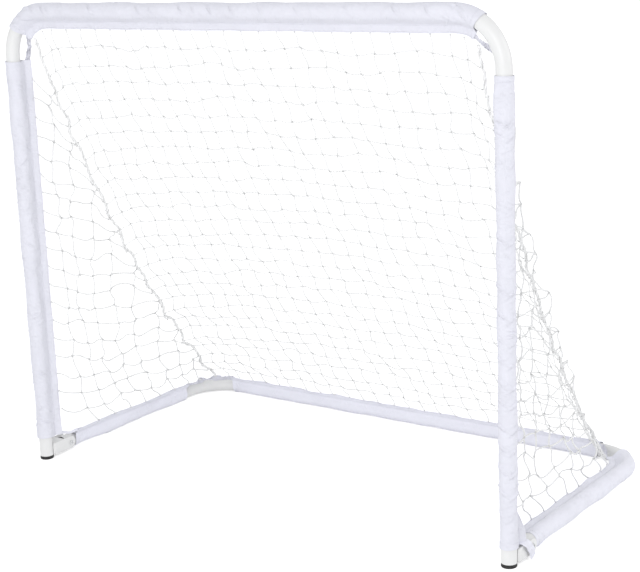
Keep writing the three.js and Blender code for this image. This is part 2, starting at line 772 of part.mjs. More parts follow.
// Side net: a three-sided panel between a post, a base tube and a border cord, on square meshes.
// Its places are shares: how far to the rear and how far to the top.
function sideNet(side, postFrom, baseFrom) {
  const lerp = THREE.MathUtils.lerp;
  const cord = borderCurve(side);
  const border = (t) => {
    const run = cord.getTangent(1 - t);
    const away = new THREE.Vector3(0, run.z, -run.y).setLength(cordRadius + cordGap);
    return cord.getPoint(1 - t).add(away);
  };
  const postLine = (t) => frontEdge(side, lerp(postFrom, topCorner, t), netSeamGap);
  const baseSide = (t) => baseEdge(side, lerp(baseFrom, rearCorner, t), netSeamGap);
  const corner = postLine(0).add(baseSide(0)).divideScalar(2);
  const rear = border(0);
  const top = border(1);
  const front = pinned(postLine, corner, top);
  const bottom = pinned(baseSide, corner, rear);
  const flat = (a, b) =>
    corner
      .clone()
      .multiplyScalar(1 - a - b)
      .addScaledVector(rear, a)
      .addScaledVector(top, b);
  const knotAt = (a, b) => {
    const c = 1 - a - b;
    const point = flat(a, b);
    if (b < 1) {
      const t = a / (1 - b);
      point.addScaledVector(bottom(t).sub(flat(t, 0)), 1 - b);
    }
    if (a < 1) {
      const t = b / (1 - a);
      point.addScaledVector(front(t).sub(flat(0, t)), 1 - a);
    }
    if (c < 1) {
      const t = b / (1 - c);
      point.addScaledVector(border(t).sub(flat(1 - t, t)), 1 - c);
    }
    return point;
  };

  const knots = [];
  const gaps = [];
  const places = new Map();
  const knot = (a, b) => {
    const key = Math.round(a * 2 * sideColumns) + "," + Math.round(b * 2 * sideColumns);
    if (!places.has(key)) places.set(key, knots.push(knotAt(a, b)) - 1);
    return places.get(key);
  };
  const across = 1 / sideColumns;
  const up = across / 2;
  const turned = (gap) => (side < 0 ? gap : gap.reverse());
  for (let i = 0; i < sideColumns; i += 1) {
    const a = i * across;
    const rows = 2 * (sideColumns - i);
    for (let j = 0; j < rows - 2; j += 1) {
      const b = j * up;
      gaps.push(turned([knot(a, b), knot(a, b + up), knot(a + across, b + up), knot(a + across, b)]));
    }
    const b = (rows - 2) * up;
    const onBorder = knot(a + across / 2, b + up);
    gaps.push(turned([knot(a, b), knot(a, b + up), onBorder, knot(a + across, b)]));
    gaps.push(turned([knot(a, b + up), knot(a, b + 2 * up), onBorder]));
  }
  settle(knots, gaps);
  return netSolid(knots, gaps);
}

const leftNetFoot = leftPostSleeveBottom - legStart + netCornerRise;
const rightNetFoot = rightPostSleeveBottom - legStart + netCornerRise;
addPiece(net, "back_net", backNet(), twine());
addPiece(net, "left_side_net", sideNet(-1, leftNetFoot, leftBaseFrom + netCornerRise), twine());
addPiece(
  net,
  "right_side_net",
  sideNet(1, rightNetFoot, baseTubeLead + rightBaseSleeveStart + netCornerRise),
  twine(),
);

export default goal;
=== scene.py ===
import json
import math
from collections import namedtuple
from contextlib import contextmanager

import bpy
import numpy as np
from bpy.props import FloatProperty, FloatVectorProperty, IntProperty, PointerProperty
from mathutils import Euler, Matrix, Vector


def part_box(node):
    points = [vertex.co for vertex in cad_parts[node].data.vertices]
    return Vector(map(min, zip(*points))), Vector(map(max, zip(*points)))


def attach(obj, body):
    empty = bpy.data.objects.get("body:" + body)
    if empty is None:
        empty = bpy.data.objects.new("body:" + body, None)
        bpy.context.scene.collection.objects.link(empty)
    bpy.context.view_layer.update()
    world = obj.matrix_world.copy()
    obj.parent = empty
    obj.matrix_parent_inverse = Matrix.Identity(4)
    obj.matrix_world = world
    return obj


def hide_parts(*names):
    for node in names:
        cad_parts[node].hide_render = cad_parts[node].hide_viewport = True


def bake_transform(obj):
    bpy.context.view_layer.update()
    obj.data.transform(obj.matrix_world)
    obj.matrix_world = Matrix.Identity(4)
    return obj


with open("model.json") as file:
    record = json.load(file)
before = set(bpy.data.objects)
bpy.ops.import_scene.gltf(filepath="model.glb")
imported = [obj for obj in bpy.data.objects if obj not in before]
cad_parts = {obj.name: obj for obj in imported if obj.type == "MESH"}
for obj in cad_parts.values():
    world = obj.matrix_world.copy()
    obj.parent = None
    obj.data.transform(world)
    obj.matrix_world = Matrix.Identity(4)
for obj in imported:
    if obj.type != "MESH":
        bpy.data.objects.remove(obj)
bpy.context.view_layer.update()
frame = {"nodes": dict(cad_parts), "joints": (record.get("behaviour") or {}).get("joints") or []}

bl_info = {
    "name": "Folding lacrosse goal",
    "version": (1, 0, 0),
    "blender": (4, 5, 0),
    "location": "View3D > Sidebar > Goal",
    "description": "Builds a folding youth lacrosse goal with fabric sleeves and a knotted net",
    "category": "Add Mesh",
}

# Places that come from the frame, in metres
HINGE = np.array(frame["joints"][0]["pos_m"])


def middle(node):
    low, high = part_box(node)
    return (low + high) / 2


POST_X = middle("right_foot_cap").x
POST_Y = middle("right_foot_cap").y
CROSSBAR_Z = middle("crossbar_tube").z
REAR_BAR = middle("rear_bar_tube")
LEG_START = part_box("left_post_tube")[0].z
LEFT_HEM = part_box("left_post_sleeve")[0].z - LEG_START
RIGHT_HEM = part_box("right_post_sleeve")[0].z - LEG_START
SIDES = (("left", -1), ("right", 1))
ACROSS_X = np.array((1.0, 0.0, 0.0))
BACKWARDS = np.array((0.0, 1.0, 0.0))
DOWN = np.array((0.0, 0.0, -1.0))

# The photograph's camera and the lamps, as name, size and place
CAMERA_PLACE = (1.90992, -2.71272, 1.22326)
CAMERA_DEGREES = (76.3644, 2.2139, 34.9848)
CAMERA_LENS = 85.2087
LAMPS = (("key", 1.8, (1.5, -4.4, 2.0)), ("fill", 2.4, (3.6, 1.4, 2.2)), ("low", 1.2, (0.1, -2.5, 0.32)))
LAMP_AIM = (0, 0, 0.45)
FLOOR_SIZE = 70

# Tubes and brackets. The stub is a tube's straight end past its bend, and the base lead is the end of
# a base tube in front of the hinge
TUBE_RADIUS = 0.015875
BEND_RADIUS = 0.102
STUB = 0.0697
BASE_LEAD = 0.014
EAR_INNER = 0.016475
EAR_THICKNESS = 0.0025
EAR_RADIUS = 0.01475
EAR_FRONT = 0.009875
PLATE_THICKNESS, PLATE_GRID = 0.0021, 0.002
LIP_REACH = 0.0455
LIP_DROP = 0.0022
WELD_PLACE = (0.0156, 0.0095)
WELD_RADIUS = 0.0021
PIVOT_SETBACK = HINGE[1] - POST_Y
RIVET_GAP, RIVET_HEAD, RIVET_HOLE = 0.0002, 0.0022, 0.006
METAL_SHARP, CLOTH_SHARP = 35, 60

# The cloth's section: round the tube, straight to the seam and on along the flap
CLOTH_RADIUS = 0.0172
SEAM_REACH = 0.0235
FLAP_REACH = 0.041
FLAP_GAP = 0.0006
LEAVE_ANGLE = math.acos(CLOTH_RADIUS / SEAM_REACH)
ARC = CLOTH_RADIUS * (math.pi - LEAVE_ANGLE)
SEAM_RUN = SEAM_REACH * math.sin(LEAVE_ANGLE)
HALF_CUT = ARC + SEAM_RUN + FLAP_REACH - SEAM_REACH

# Directions of the flaps, from the inside of the frame towards its back
POST_TURN = math.radians(62)
CROSSBAR_TURN = math.radians(15)
RIGHT_FOOT_TURN = math.radians(114)
FOOT_TURN_FROM, FOOT_TURN_TO = 0.14, 0.035
BASE_TURN = math.radians(-48)
RIGHT_BASE_TURN = math.radians(-5)

# How hems, stitches and tapes lie on the cloth. It comes no closer to the tube than the closest lift
HEM_RISE = 0.0005
HEM_DENT, HEM_DENT_WIDTH = 0.0007, 0.0018
FLARE_FADE = 0.012
CLOSEST = -0.00045
CALM_END = 0.02
SWAY, DRIFT = 0.0016, 0.0012
HEM = 0.012
STITCH_LENGTH, STITCH_WIDTH, STITCH_LIFT = 0.0030, 0.0009, 0.0007
TAPE_GRID = 0.0012
TAPE_TUCK = 0.004
TAPE_BELOW_EDGE, TAPE_ARCH, TAPE_SPIN = 0.008, 0.003, 0.9

# A crease ends at this many reaches from its middle. Its hollows are in shares of its width and height
CREASE_END = 2.2
HOLLOW_PLACE, HOLLOW_WIDTH, HOLLOW_DEPTH = 2.1, 1.1, 0.45
BUNCH_SPACING = 0.075

# Nets and cords. Each cord has its sag, the height of its waves and their seed. A pin's power says how
# fast a net's boundary comes back to its flap from a corner
SEWN_ON = 0.0002
CORD_SEAT = 0.0043
BESIDE_CORD = 0.0056
CORDS = {-1: ((0.034, -0.062, -0.052), 0.0038, 40), 1: ((-0.002, -0.046, -0.039), 0.0024, 60)}
NET_SAG = (0.0, -0.015, -0.009)
NET_LEAN_SHARE = 2.2
SIDE_TWINE_SHARE = 1.2
NET_START = 0.020
PIN_POWER, POST_PIN_POWER, BASE_PIN_POWER = 6, 40, 20
HANG_PASSES, HANG_PULLS, HANG_STEP = 24, 6, 0.00003
STRAND_STEPS = 5
KNOT_SPREAD, KNOT_TWINE = 0.38, 0.26
LACE_TWINE, LACE_LOOPS = 0.0020, 14
CORD_LAY, CORD_POINTS = 0.055, 420
START, END = np.array([0.0]), np.array([1.0])
NEAR = 1e-6


def metres(name, description, default, low, high):
    return FloatProperty(
        name=name, description=description, default=default, min=low, max=high, unit="LENGTH")


def number(name, description, default, low, high):
    return IntProperty(name=name, description=description, default=default, min=low, max=high)


def strength(name, description, default, high):
    return FloatProperty(name=name, description=description, default=default, min=0, max=high)


def power(name, description, default):
    return FloatProperty(name=name, description=description, default=default, min=0, subtype="POWER")


def tint(name, description, default):
    return FloatVectorProperty(
        name=name, description=description, subtype="COLOR", size=3, default=default, min=0, max=1)


class GoalStageSettings(bpy.types.PropertyGroup):
    floor_colour: tint("Floor colour", "Colour of the studio floor", (0.92, 0.92, 0.925))
    floor_glow: strength("Floor glow", "Light that the floor shows to the camera alone", 0.55, 1)
    ambient: strength("Ambient", "Strength of the even light from all round", 0.74, 2)
    key_power: power("Key light", "Power of the large soft lamp", 60)
    fill_power: power("Fill light", "Power of the lamp on the far side", 34)
    low_power: power("Low light", "Power of the lamp near the floor", 5)


class GoalTubeSettings(bpy.types.PropertyGroup):
    wall: metres("Wall", "Thickness of the tube's wall", 0.0015, 0.0005, 0.005)
    sides: number("Sides", "Faces round the tube", 48, 12, 96)
    bend_steps: number("Bend steps", "Faces along each bend", 24, 6, 64)
    colour: tint("Enamel", "Colour of the powder coat", (0.79, 0.79, 0.785))


class GoalFabricSettings(bpy.types.PropertyGroup):
    thickness: metres("Thickness", "Thickness of the cloth", 0.0008, 0.0003, 0.003)
    grid: metres("Grid", "Spacing of the cloth's faces", 0.0022, 0.0015, 0.01)
    looseness: metres("Looseness", "Height of the soft waves in the sleeves", 0.0010, 0, 0.004)
    crease: metres("Creases", "Height of the sharp creases", 0.0028, 0, 0.004)
    colour: tint("Cloth", "Colour of the woven polyester", (0.77, 0.77, 0.84))


class GoalNetSettings(bpy.types.PropertyGroup):
    columns: number("Back columns", "Meshes across the back net", 27, 6, 40)
    rows: number("Back rows", "Meshes down the back net", 27, 6, 40)
    side_columns: number("Side columns", "Meshes along the foot of a side net", 9, 4, 20)
    side_rows: number("Side rows", "Meshes up the post side of a side net", 22, 6, 40)
    twine: metres("Twine", "Diameter of the net's twine", 0.0031, 0.001, 0.005)
    cord_ply: metres("Cord ply", "Diameter of each twine in a border cord", 0.0038, 0.002, 0.006)
    colour: tint("Twine colour", "Colour of the net", (0.865, 0.865, 0.86))


class TubeLine:
    """Centre line of a bent frame: leg, bend, bar, bend, leg. Distances run from the left leg's end.

    Turn is a function that gives the direction of the flap at a distance."""

    def __init__(self, body, turn, origin, up, foot, reach):
        self.body, self.turn = body, turn
        self.origin = np.array(origin, float)
        self.up = np.array(up, float) / np.linalg.norm(up)
        self.across = np.cross(self.up, ACROSS_X)
        self.foot = foot
        self.bend_base = reach - BEND_RADIUS
        self.leg = self.bend_base - foot
        self.bend = BEND_RADIUS * math.pi / 2
        self.bar_start = self.leg + self.bend
        self.bar_end = self.bar_start + 2 * (POST_X - BEND_RADIUS)
        self.length = self.bar_end + self.bend + self.leg
        self.corner = self.leg + self.bend / 2

    def at(self, distances):
        """Centres, and directions to the inside of the frame."""
        d = np.asarray(distances, float)
        mirrored = d > self.length / 2
        s = np.where(mirrored, self.length - d, d)
        angle = np.clip((s - self.leg) / BEND_RADIUS, 0, math.pi / 2)
        x = -POST_X + BEND_RADIUS * (1 - np.cos(angle)) + np.maximum(s - self.bar_start, 0)
        rise = np.where(s < self.leg, self.foot + s, self.bend_base + BEND_RADIUS * np.sin(angle))
        x = np.where(mirrored, -x, x)
        heading = np.where(mirrored, -1, 1) * (math.pi / 2 - angle)
        sine, cosine = np.sin(heading)[..., None], np.cos(heading)[..., None]
        centre = self.origin + x[..., None] * ACROSS_X + rise[..., None] * self.up
        return centre, sine * ACROSS_X - cosine * self.up

    def flap_axes(self, distances):
        """Centres, directions out along the flap and directions across it."""
        centre, inward = self.at(distances)
        turn = self.turn(np.asarray(distances, float))[..., None]
        out = inward * np.cos(turn) + self.across * np.sin(turn)
        return centre, out, self.across * np.cos(turn) - inward * np.sin(turn)

    def beside(self, distances, reach, sway=0.0):
        """Points beside the tube: reach from its centre in the flap's direction, sway across the flap."""
        centre, out, side = self.flap_axes(distances)
        return centre + out * np.asarray(reach)[..., None] + side * np.asarray(sway)[..., None]


def smoothstep(value, low, high):
    share = np.clip((value - low) / (high - low), 0, 1)
    return share * share * (3 - 2 * share)


def front_turn(distance):
    """The front flaps turn from the post's direction to the crossbar's over the bare bends.

    At the right post's foot the flap looks outwards."""
    from_post = smoothstep(distance, LEFT_POST_TOP, CROSSBAR_FROM)
    to_post = smoothstep(distance, CROSSBAR_TO, RIGHT_POST_TOP)
    turn = POST_TURN + (CROSSBAR_TURN - POST_TURN) * (from_post - to_post)
    at_foot = smoothstep(distance, FRONT.length - FOOT_TURN_FROM, FRONT.length - FOOT_TURN_TO)
    return turn + (RIGHT_FOOT_TURN - POST_TURN) * at_foot


def base_turn(distance):
    """The base flaps stand up towards the crossbar, but on the right tube the flap lies flat."""
    return BASE_TURN + (RIGHT_BASE_TURN - BASE_TURN) * smoothstep(distance, REAR_TO, RIGHT_BASE_FROM)


FRONT = TubeLine("front_frame", front_turn, (0, POST_Y, 0), (0, 0, 1), LEG_START, CROSSBAR_Z)
BASE_RUN = (0, REAR_BAR.y - HINGE[1], REAR_BAR.z - HINGE[2])
BASE = TubeLine("base_frame", base_turn, (0, HINGE[1], HINGE[2]), BASE_RUN, -BASE_LEAD,
                float(np.linalg.norm(BASE_RUN)))

# Where each sleeve begins and ends on its line. Places on a bend are given in degrees of it
LEFT_POST_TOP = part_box("left_post_sleeve")[1].z - LEG_START
RIGHT_POST_TOP = FRONT.length - LEFT_POST_TOP
CROSSBAR_FROM = FRONT.bar_start - BEND_RADIUS * math.radians(52)
CROSSBAR_TO = FRONT.bar_end + BEND_RADIUS * math.radians(33)
LEFT_BASE_FROM = BASE_LEAD + 0.0175
LEFT_BASE_TO = LEFT_BASE_FROM + 0.418
REAR_FROM = BASE.bar_start - BEND_RADIUS * math.radians(13)
REAR_TO = BASE.bar_end
RIGHT_BASE_FROM = BASE.length - BASE.leg - BEND_RADIUS * math.radians(52)
RIGHT_BASE_TO = BASE.length - BASE_LEAD - 0.033
RIGHT_MOUTH = RIGHT_BASE_TO + 0.0150


def flap_edge(line, side, distances, beyond):
    """Points just beyond a flap's edge, at distances from the end of the leg on the given side."""
    d = np.asarray(distances) if side < 0 else line.length - np.asarray(distances)
    return line.beside(d, FLAP_REACH + beyond)


def ripple(seed, x, shortest, longest, count=7):
    """Smooth seeded noise along one direction, about -1 to 1."""
    rng = np.random.default_rng(seed)
    lengths = np.exp(rng.uniform(math.log(shortest), math.log(longest), count))
    phases = rng.uniform(0, 2 * math.pi, count)
    total = sum(np.sin(2 * math.pi * np.asarray(x) / wave + phase) for wave, phase in zip(lengths, phases))
    return total / math.sqrt(count)


def flap_sway(seed, distance):
    """How far a flap's free edge leans to one side, the same for the flap and for what is sewn on it."""
    return SWAY * ripple(seed, distance, 0.05, 0.22)


def unit(vectors):
    return vectors / np.linalg.norm(vectors, axis=-1, keepdims=True)


def square_to(vectors, ahead):
    """Unit vectors square to unit directions, as near as can be to the given ones."""
    return unit(vectors - ahead * (vectors * ahead).sum(1, keepdims=True))


def travel(points):
    """The distance of each point along a line of points."""
    return np.concatenate(([0], np.cumsum(np.linalg.norm(np.diff(points, axis=0), axis=1))))


def read_at(marks, travelled, values):
    """Numbers or vectors that are given along a line, read at marks on it."""
    if values.ndim == 1:
        return np.interp(marks, travelled, values)
    return np.stack([np.interp(marks, travelled, column) for column in values.T], 1)


# Mesh building

def deselect():
    if bpy.context.object and bpy.context.object.mode != "OBJECT":
        bpy.ops.object.mode_set(mode="OBJECT")
    bpy.ops.object.select_all(action="DESELECT")


def only(piece):
    deselect()
    piece.select_set(True)
    bpy.context.view_layer.objects.active = piece


def added(name):
    """The primitive that was just added, under its own name."""
    piece = bpy.context.object
    piece.name = name
    piece.data.name = name
    return piece


@contextmanager
def editing(piece):
    """Edit mode, with the whole piece selected."""
    only(piece)
    bpy.ops.object.mode_set(mode="EDIT")
    bpy.ops.mesh.select_all(action="SELECT")
    yield
    bpy.ops.object.mode_set(mode="OBJECT")


def shape(piece, points):
    piece.data.vertices.foreach_set("co", np.asarray(points, np.float32).ravel())
    piece.data.update()


def points_of(piece):
    flat = np.empty(len(piece.data.vertices) * 3, np.float32)
    piece.data.vertices.foreach_get("co", flat)
    return flat.reshape(-1, 3).astype(float)


def merge_and_face(piece):
    with editing(piece):
        bpy.ops.mesh.remove_doubles(threshold=1e-6)
        bpy.ops.mesh.normals_make_consistent(inside=False)


def round_shaded(piece):
    with editing(piece):
        bpy.ops.mesh.normals_make_consistent(inside=False)
    piece.data.polygons.foreach_set("use_smooth", [True] * len(piece.data.polygons))


def face_away(piece, away):
    """Turns the faces of a sheet round if they look the other way."""
    normals = np.empty(len(piece.data.vertices) * 3, np.float32)
    piece.data.vertices.foreach_get("normal", normals)
    if (normals.reshape(-1, 3) * away).sum() < 0:
        piece.data.flip_normals()


def modify(piece, kind, **settings):
    only(piece)
    modifier = piece.modifiers.new(kind.title(), kind)
    for key, value in settings.items():
        setattr(modifier, key, value)
    bpy.ops.object.modifier_apply(modifier=modifier.name)


def smooth(piece, angle):
    only(piece)
    bpy.ops.object.shade_smooth_by_angle(angle=math.radians(angle))


def give_uv(mesh, uv):
    loops = np.empty(len(mesh.loops), int)
    mesh.loops.foreach_get("vertex_index", loops)
    layer = mesh.uv_layers.active or mesh.uv_layers.new(name="UVMap")
    layer.data.foreach_set("uv", uv[loops].astype(np.float32).ravel())


def mesh_piece(name, points, faces=(), edges=(), uv=None):
    """A new object from points, with uv given for each point."""
    mesh = bpy.data.meshes.new(name)
    mesh.from_pydata(np.asarray(points).tolist(), edges, faces)
    if uv is not None:
        give_uv(mesh, np.asarray(uv))
    piece = bpy.data.objects.new(name, mesh)
    bpy.context.scene.collection.objects.link(piece)
    return piece


def joined(name, pieces):
    deselect()
    for piece in pieces:
        piece.select_set(True)
    bpy.context.view_layer.objects.active = pieces[0]
    bpy.ops.object.join()
    return added(name)


def flat_cut(name, width, length, spacing):
    """A flat rectangle of cloth. Returns it with each vertex's place across and along the cut."""
    deselect()
    counts = [max(2, round(size / spacing)) for size in (width, length)]
    bpy.ops.mesh.primitive_grid_add(x_subdivisions=counts[0], y_subdivisions=counts[1], size=1)
    piece = added(name)
    places = points_of(piece)
    across = places[:, 0] * width
    along = (places[:, 1] + 0.5) * length
    give_uv(piece.data, np.stack((across, along), 1))
    return piece, across, along


def tube_mesh(name, paths, radius, sides, closed=False):
    """Round strands along paths, an array of shape (strands, points, 3). Radius may vary by point."""
    paths = np.asarray(paths, float)
    strands, count, _ = paths.shape
    tangent = unit(np.roll(paths, -1, 1) - np.roll(paths, 1, 1) if closed else np.gradient(paths, axis=1))
    whole = tangent.sum(1, keepdims=True)
    sideways = np.abs(whole[..., 1:2]) < 0.7 * np.linalg.norm(whole, axis=2, keepdims=True) + 1e-9
    normal = np.cross(tangent, np.where(sideways, BACKWARDS, ACROSS_X))
    normal /= np.linalg.norm(normal, axis=2, keepdims=True) + 1e-12
    binormal = np.cross(tangent, normal)
    angle = np.arange(sides) * 2 * math.pi / sides
    ring = (normal[:, :, None] * np.cos(angle)[:, None] + binormal[:, :, None] * np.sin(angle)[:, None])
    radius = np.broadcast_to(np.asarray(radius, float), (strands, count))
    points = paths[:, :, None] + ring * radius[:, :, None, None]
    steps = np.linalg.norm(np.diff(paths, axis=1), axis=2)
    travelled = np.concatenate((np.zeros((strands, 1)), np.cumsum(steps, 1)), 1)
    u = np.broadcast_to(angle / (2 * math.pi), (strands, count, sides))
    v = np.broadcast_to(travelled[:, :, None], (strands, count, sides))
    spans = count if closed else count - 1
    s, p, k = np.meshgrid(np.arange(strands), np.arange(spans), np.arange(sides), indexing="ij")

    def index(p, k):
        return (s * count + p % count) * sides + k % sides

    quads = np.stack((index(p, k), index(p, k + 1), index(p + 1, k + 1), index(p + 1, k)), -1)
    faces = quads.reshape(-1, 4).tolist()
    if not closed:
        starts = (np.arange(strands) * count * sides)[:, None]
        faces += (starts + np.arange(sides)[::-1]).tolist()
        faces += (starts + (count - 1) * sides + np.arange(sides)).tolist()
    piece = mesh_piece(name, points.reshape(-1, 3), faces, uv=np.stack((u, v), -1).reshape(-1, 2))
    round_shaded(piece)
    return piece


def scatter(name, pattern, places, axes):
    """Copies of a small pattern piece in one mesh. Axes holds three sized directions for each."""
    local = points_of(pattern)
    faces = [list(face.vertices) for face in pattern.data.polygons]
    points = np.einsum("vi,nij->nvj", local, np.asarray(axes)) + np.asarray(places)[:, None]
    shifts = np.arange(len(places)) * len(local)
    all_faces = [[v + shift for v in face] for shift in shifts for face in faces]
    piece = mesh_piece(name, points.reshape(-1, 3), all_faces, uv=np.tile(local[:, :2], (len(places), 1)))
    bpy.data.objects.remove(pattern)
    round_shaded(piece)
    return piece


def lathe(name, profile, centre, axis, steps):
    """A turned piece: the profile's (radius, height) points spun about an axis."""
    axis = Vector(axis)
    side = axis.orthogonal().normalized()
    points = [Vector(centre) + side * radius + axis * height for radius, height in profile]
    piece = mesh_piece(name, points, edges=[(i, i + 1) for i in range(len(points) - 1)])
    with editing(piece):
        bpy.ops.mesh.spin(steps=steps, angle=2 * math.pi, center=Vector(centre), axis=axis)
    merge_and_face(piece)
    smooth(piece, METAL_SHARP)
    return piece


def seat(piece, finish, slot, body, *nodes):
    """Gives a finished piece its material and its body, and hides the solids that it stands for. The slot is
    not used.
    """
    piece.data.materials.clear()
    piece.data.materials.append(finish)
    if body:
        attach(piece, body)
    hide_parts(*nodes)


def seat_on_both(piece, finish, slot, node):
    seat(piece, finish, slot, None, node)
    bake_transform(piece)


# Materials

class Nodes:
    """Short ways to add nodes to a tree and to set or link their inputs."""

    def __init__(self, tree):
        self.tree = tree

    def set(self, node, inputs):
        for key, value in inputs.items():
            if isinstance(value, bpy.types.NodeSocket):
                self.tree.links.new(value, node.inputs[key])
            else:
                node.inputs[key].default_value = value

    def node(self, kind, inputs=(), **settings):
        made = self.tree.nodes.new("ShaderNode" + kind)
        for key, value in settings.items():
            setattr(made, key, value)
        self.set(made, dict(inputs))
        return made

    def math(self, operation, first, second=0.0):
        return self.node("Math", {0: first, 1: second}, operation=operation).outputs[0]

    def seen_rays(self):
        """1 for what the camera sees, also in a reflection or through something clear."""
        path = self.node("LightPath")
        total = path.outputs["Is Camera Ray"]
        for name in ("Is Glossy Ray", "Is Transmission Ray"):
            total = self.math("MAXIMUM", total, path.outputs[name])
        return total


class Finish(Nodes):
    """A node material built on the Principled shader."""

    def __init__(self, name, colour, roughness, **sockets):
        self.material = bpy.data.materials.new(name)
        self.material.use_nodes = True
        super().__init__(self.material.node_tree)
        self.shader = self.tree.nodes["Principled BSDF"]
        self.show(Base_Color=(*colour, 1), Roughness=roughness, **sockets)
        self.coordinates = self.node("TexCoord")

    def show(self, **sockets):
        """Sets the shader's sockets, whose names have underscores for spaces here."""
        self.set(self.shader, {key.replace("_", " "): value for key, value in sockets.items()})

    def noise(self, scale, detail=3.0, where="Object", rough=0.5):
        place = self.coordinates.outputs[where]
        inputs = {"Vector": place, "Scale": scale, "Detail": detail, "Roughness": rough}
        return self.node("TexNoise", inputs).outputs["Fac"]

    def ramp(self, factor, *stops):
        made = self.node("ValToRGB", {"Fac": factor})
        while len(made.color_ramp.elements) < len(stops):
            made.color_ramp.elements.new(0.5)
        for element, (place, colour) in zip(made.color_ramp.elements, stops):
            element.position = place
            element.color = (*colour, 1)
        return made.outputs["Color"]

    def range(self, value, low, high, new_low, new_high):
        inputs = {"Value": value, "From Min": low, "From Max": high, "To Min": new_low, "To Max": new_high}
        return self.node("MapRange", inputs).outputs["Result"]

    def bump(self, *heights):
        """Heights are pairs of a height and its depth in metres."""
        normal = None
        for height, depth in heights:
            made = self.node("Bump", {"Height": height, "Strength": 1.0, "Distance": depth})
            if normal:
                self.set(made, {"Normal": normal})
            normal = made.outputs["Normal"]
        self.show(Normal=normal)


def shade(colour, factor):
    return tuple(min(1.0, c * factor) for c in colour)


def enamel_finish(name):
    """Powder coat: a fine orange peel, faint clouding and patches that shine less."""
    colour = tuple(bpy.context.scene.goal_tube.colour)
    finish = Finish(name, colour, 0.36, Specular_IOR_Level=0.5, Coat_Weight=0.15, Coat_Roughness=0.2)
    finish.show(Base_Color=finish.ramp(finish.noise(9, 2), (0.3, shade(colour, 0.965)), (0.7, colour)),
                Roughness=finish.range(finish.noise(60, 4, rough=0.7), 0.3, 0.7, 0.30, 0.46))
    finish.bump((finish.noise(700, 2), 0.00006), (finish.noise(90, 2), 0.00012))
    return finish.material


def steel_finish(name):
    """Zinc plate with a spangle and fine turning marks."""
    finish = Finish(name, (0.60, 0.61, 0.62), 0.34, Metallic=1.0)
    spangle = finish.ramp(finish.noise(420, 3), (0.3, (0.50, 0.51, 0.52)), (0.7, (0.68, 0.69, 0.70)))
    finish.show(Base_Color=spangle, Roughness=finish.range(finish.noise(900, 2), 0.3, 0.7, 0.26, 0.46))
    finish.bump((finish.noise(1500, 2), 0.00003))
    return finish.material


def rubber_finish(name):
    """Moulded black rubber, a little dusty."""
    finish = Finish(name, (0.012, 0.012, 0.013), 0.62, Specular_IOR_Level=0.35)
    dust = finish.noise(160, 4, rough=0.7)
    finish.show(Base_Color=finish.ramp(dust, (0.45, (0.010, 0.010, 0.011)), (0.8, (0.05, 0.048, 0.045))),
                Roughness=finish.range(dust, 0.3, 0.8, 0.5, 0.78))
    finish.bump((finish.noise(1400, 2), 0.00005))
    return finish.material


def cloth_finish(name, colour, crumple=0.0, pitch=0.00055, depth=0.00009, streak=0.0006):
    """Plain-woven coated polyester: threads over and under in the cut's own directions, streaks and folds."""
    finish = Finish(name, colour, 0.5, Sheen_Weight=0.2, Sheen_Roughness=0.4, Sheen_Tint=(1, 1, 1, 1),
                    Specular_IOR_Level=0.45)
    cut = finish.coordinates.outputs["UV"]
    bands = 2 * math.pi / 20 / pitch
    wave = {"Vector": cut, "Scale": bands, "Distortion": 0.6, "Detail": 1.0, "Detail Scale": 0.4}
    warp, weft = (finish.node("TexWave", wave, bands_direction=way).outputs["Fac"] for way in "XY")
    weave = finish.math("MULTIPLY", warp, weft)
    marks = finish.ramp(finish.noise(14, 3, "UV"), (0.25, shade(colour, 0.96)), (0.55, colour),
                        (0.9, shade(colour, 1.02)))
    finish.show(Base_Color=marks, Roughness=finish.range(weave, 0, 1, 0.62, 0.44))
    lines = []
    for turn, shift in ((0.6, 0.0), (-0.45, 3.0)):
        place = finish.node("Mapping", {"Vector": cut, "Location": (0, 0, -shift), "Rotation": (0, 0, turn),
                                        "Scale": (0.022, 0.0050, 1.0)}, vector_type="TEXTURE").outputs[0]
        field = finish.node("TexNoise", {"Vector": place, "Scale": 1.0, "Detail": 0.5}).outputs["Fac"]
        lines.append((finish.range(field, 0.58, 0.80, 0.0, 1.0), streak))
    folds = finish.math("ABSOLUTE", finish.math("SUBTRACT", finish.noise(30, 1.5, "UV"), 0.5))
    finish.bump((weave, depth), (finish.noise(38, 3, "UV"), 0.0012), (folds, -crumple), *lines)
    return finish.material


def twine_finish(name, colour, pitch):
    """Twisted twine: plies that wind round the strand, with painted shade that darkens the grooves between
    them, and random paler and darker patches.
    """
    finish = Finish(name, colour, 0.7, Sheen_Weight=0.2, Sheen_Roughness=0.5, Specular_IOR_Level=0.25,
                    Subsurface_Weight=0.6, Subsurface_Radius=(1.0, 1.0, 1.0), Subsurface_Scale=0.0015)
    strand = finish.coordinates.outputs["UV"]
    place = finish.node("Mapping", {"Vector": strand, "Scale": (1.0, 1.0 / pitch, 1.0)}).outputs[0]
    wave = {"Vector": place, "Scale": 0.628, "Distortion": 0.4, "Detail": 1.0}
    plies = finish.node("TexWave", wave, bands_direction="DIAGONAL").outputs["Fac"]
    patch = finish.noise(30, 2)
    # Painted shade: the colour follows the plies' bump, darker in the grooves, mixed with random patches
    tone = finish.math("ADD", finish.math("MULTIPLY", plies, 0.6), finish.math("MULTIPLY", patch, 0.4))
    finish.show(Base_Color=finish.ramp(tone, (0.15, shade(colour, 0.95)), (0.5, shade(colour, 0.99)),
                                       (0.85, shade(colour, 1.03))))
    finish.bump((plies, 0.00018), (finish.noise(1200, 2), 0.00005))
    return finish.material


def shared(name, make, *values, **settings):
    """A material by its name, made on its first use."""
    return bpy.data.materials.get(name) or make(name, *values, **settings)


def enamel():
    return shared("white powder coat", enamel_finish)


def steel():
    return shared("zinc-plated steel", steel_finish)


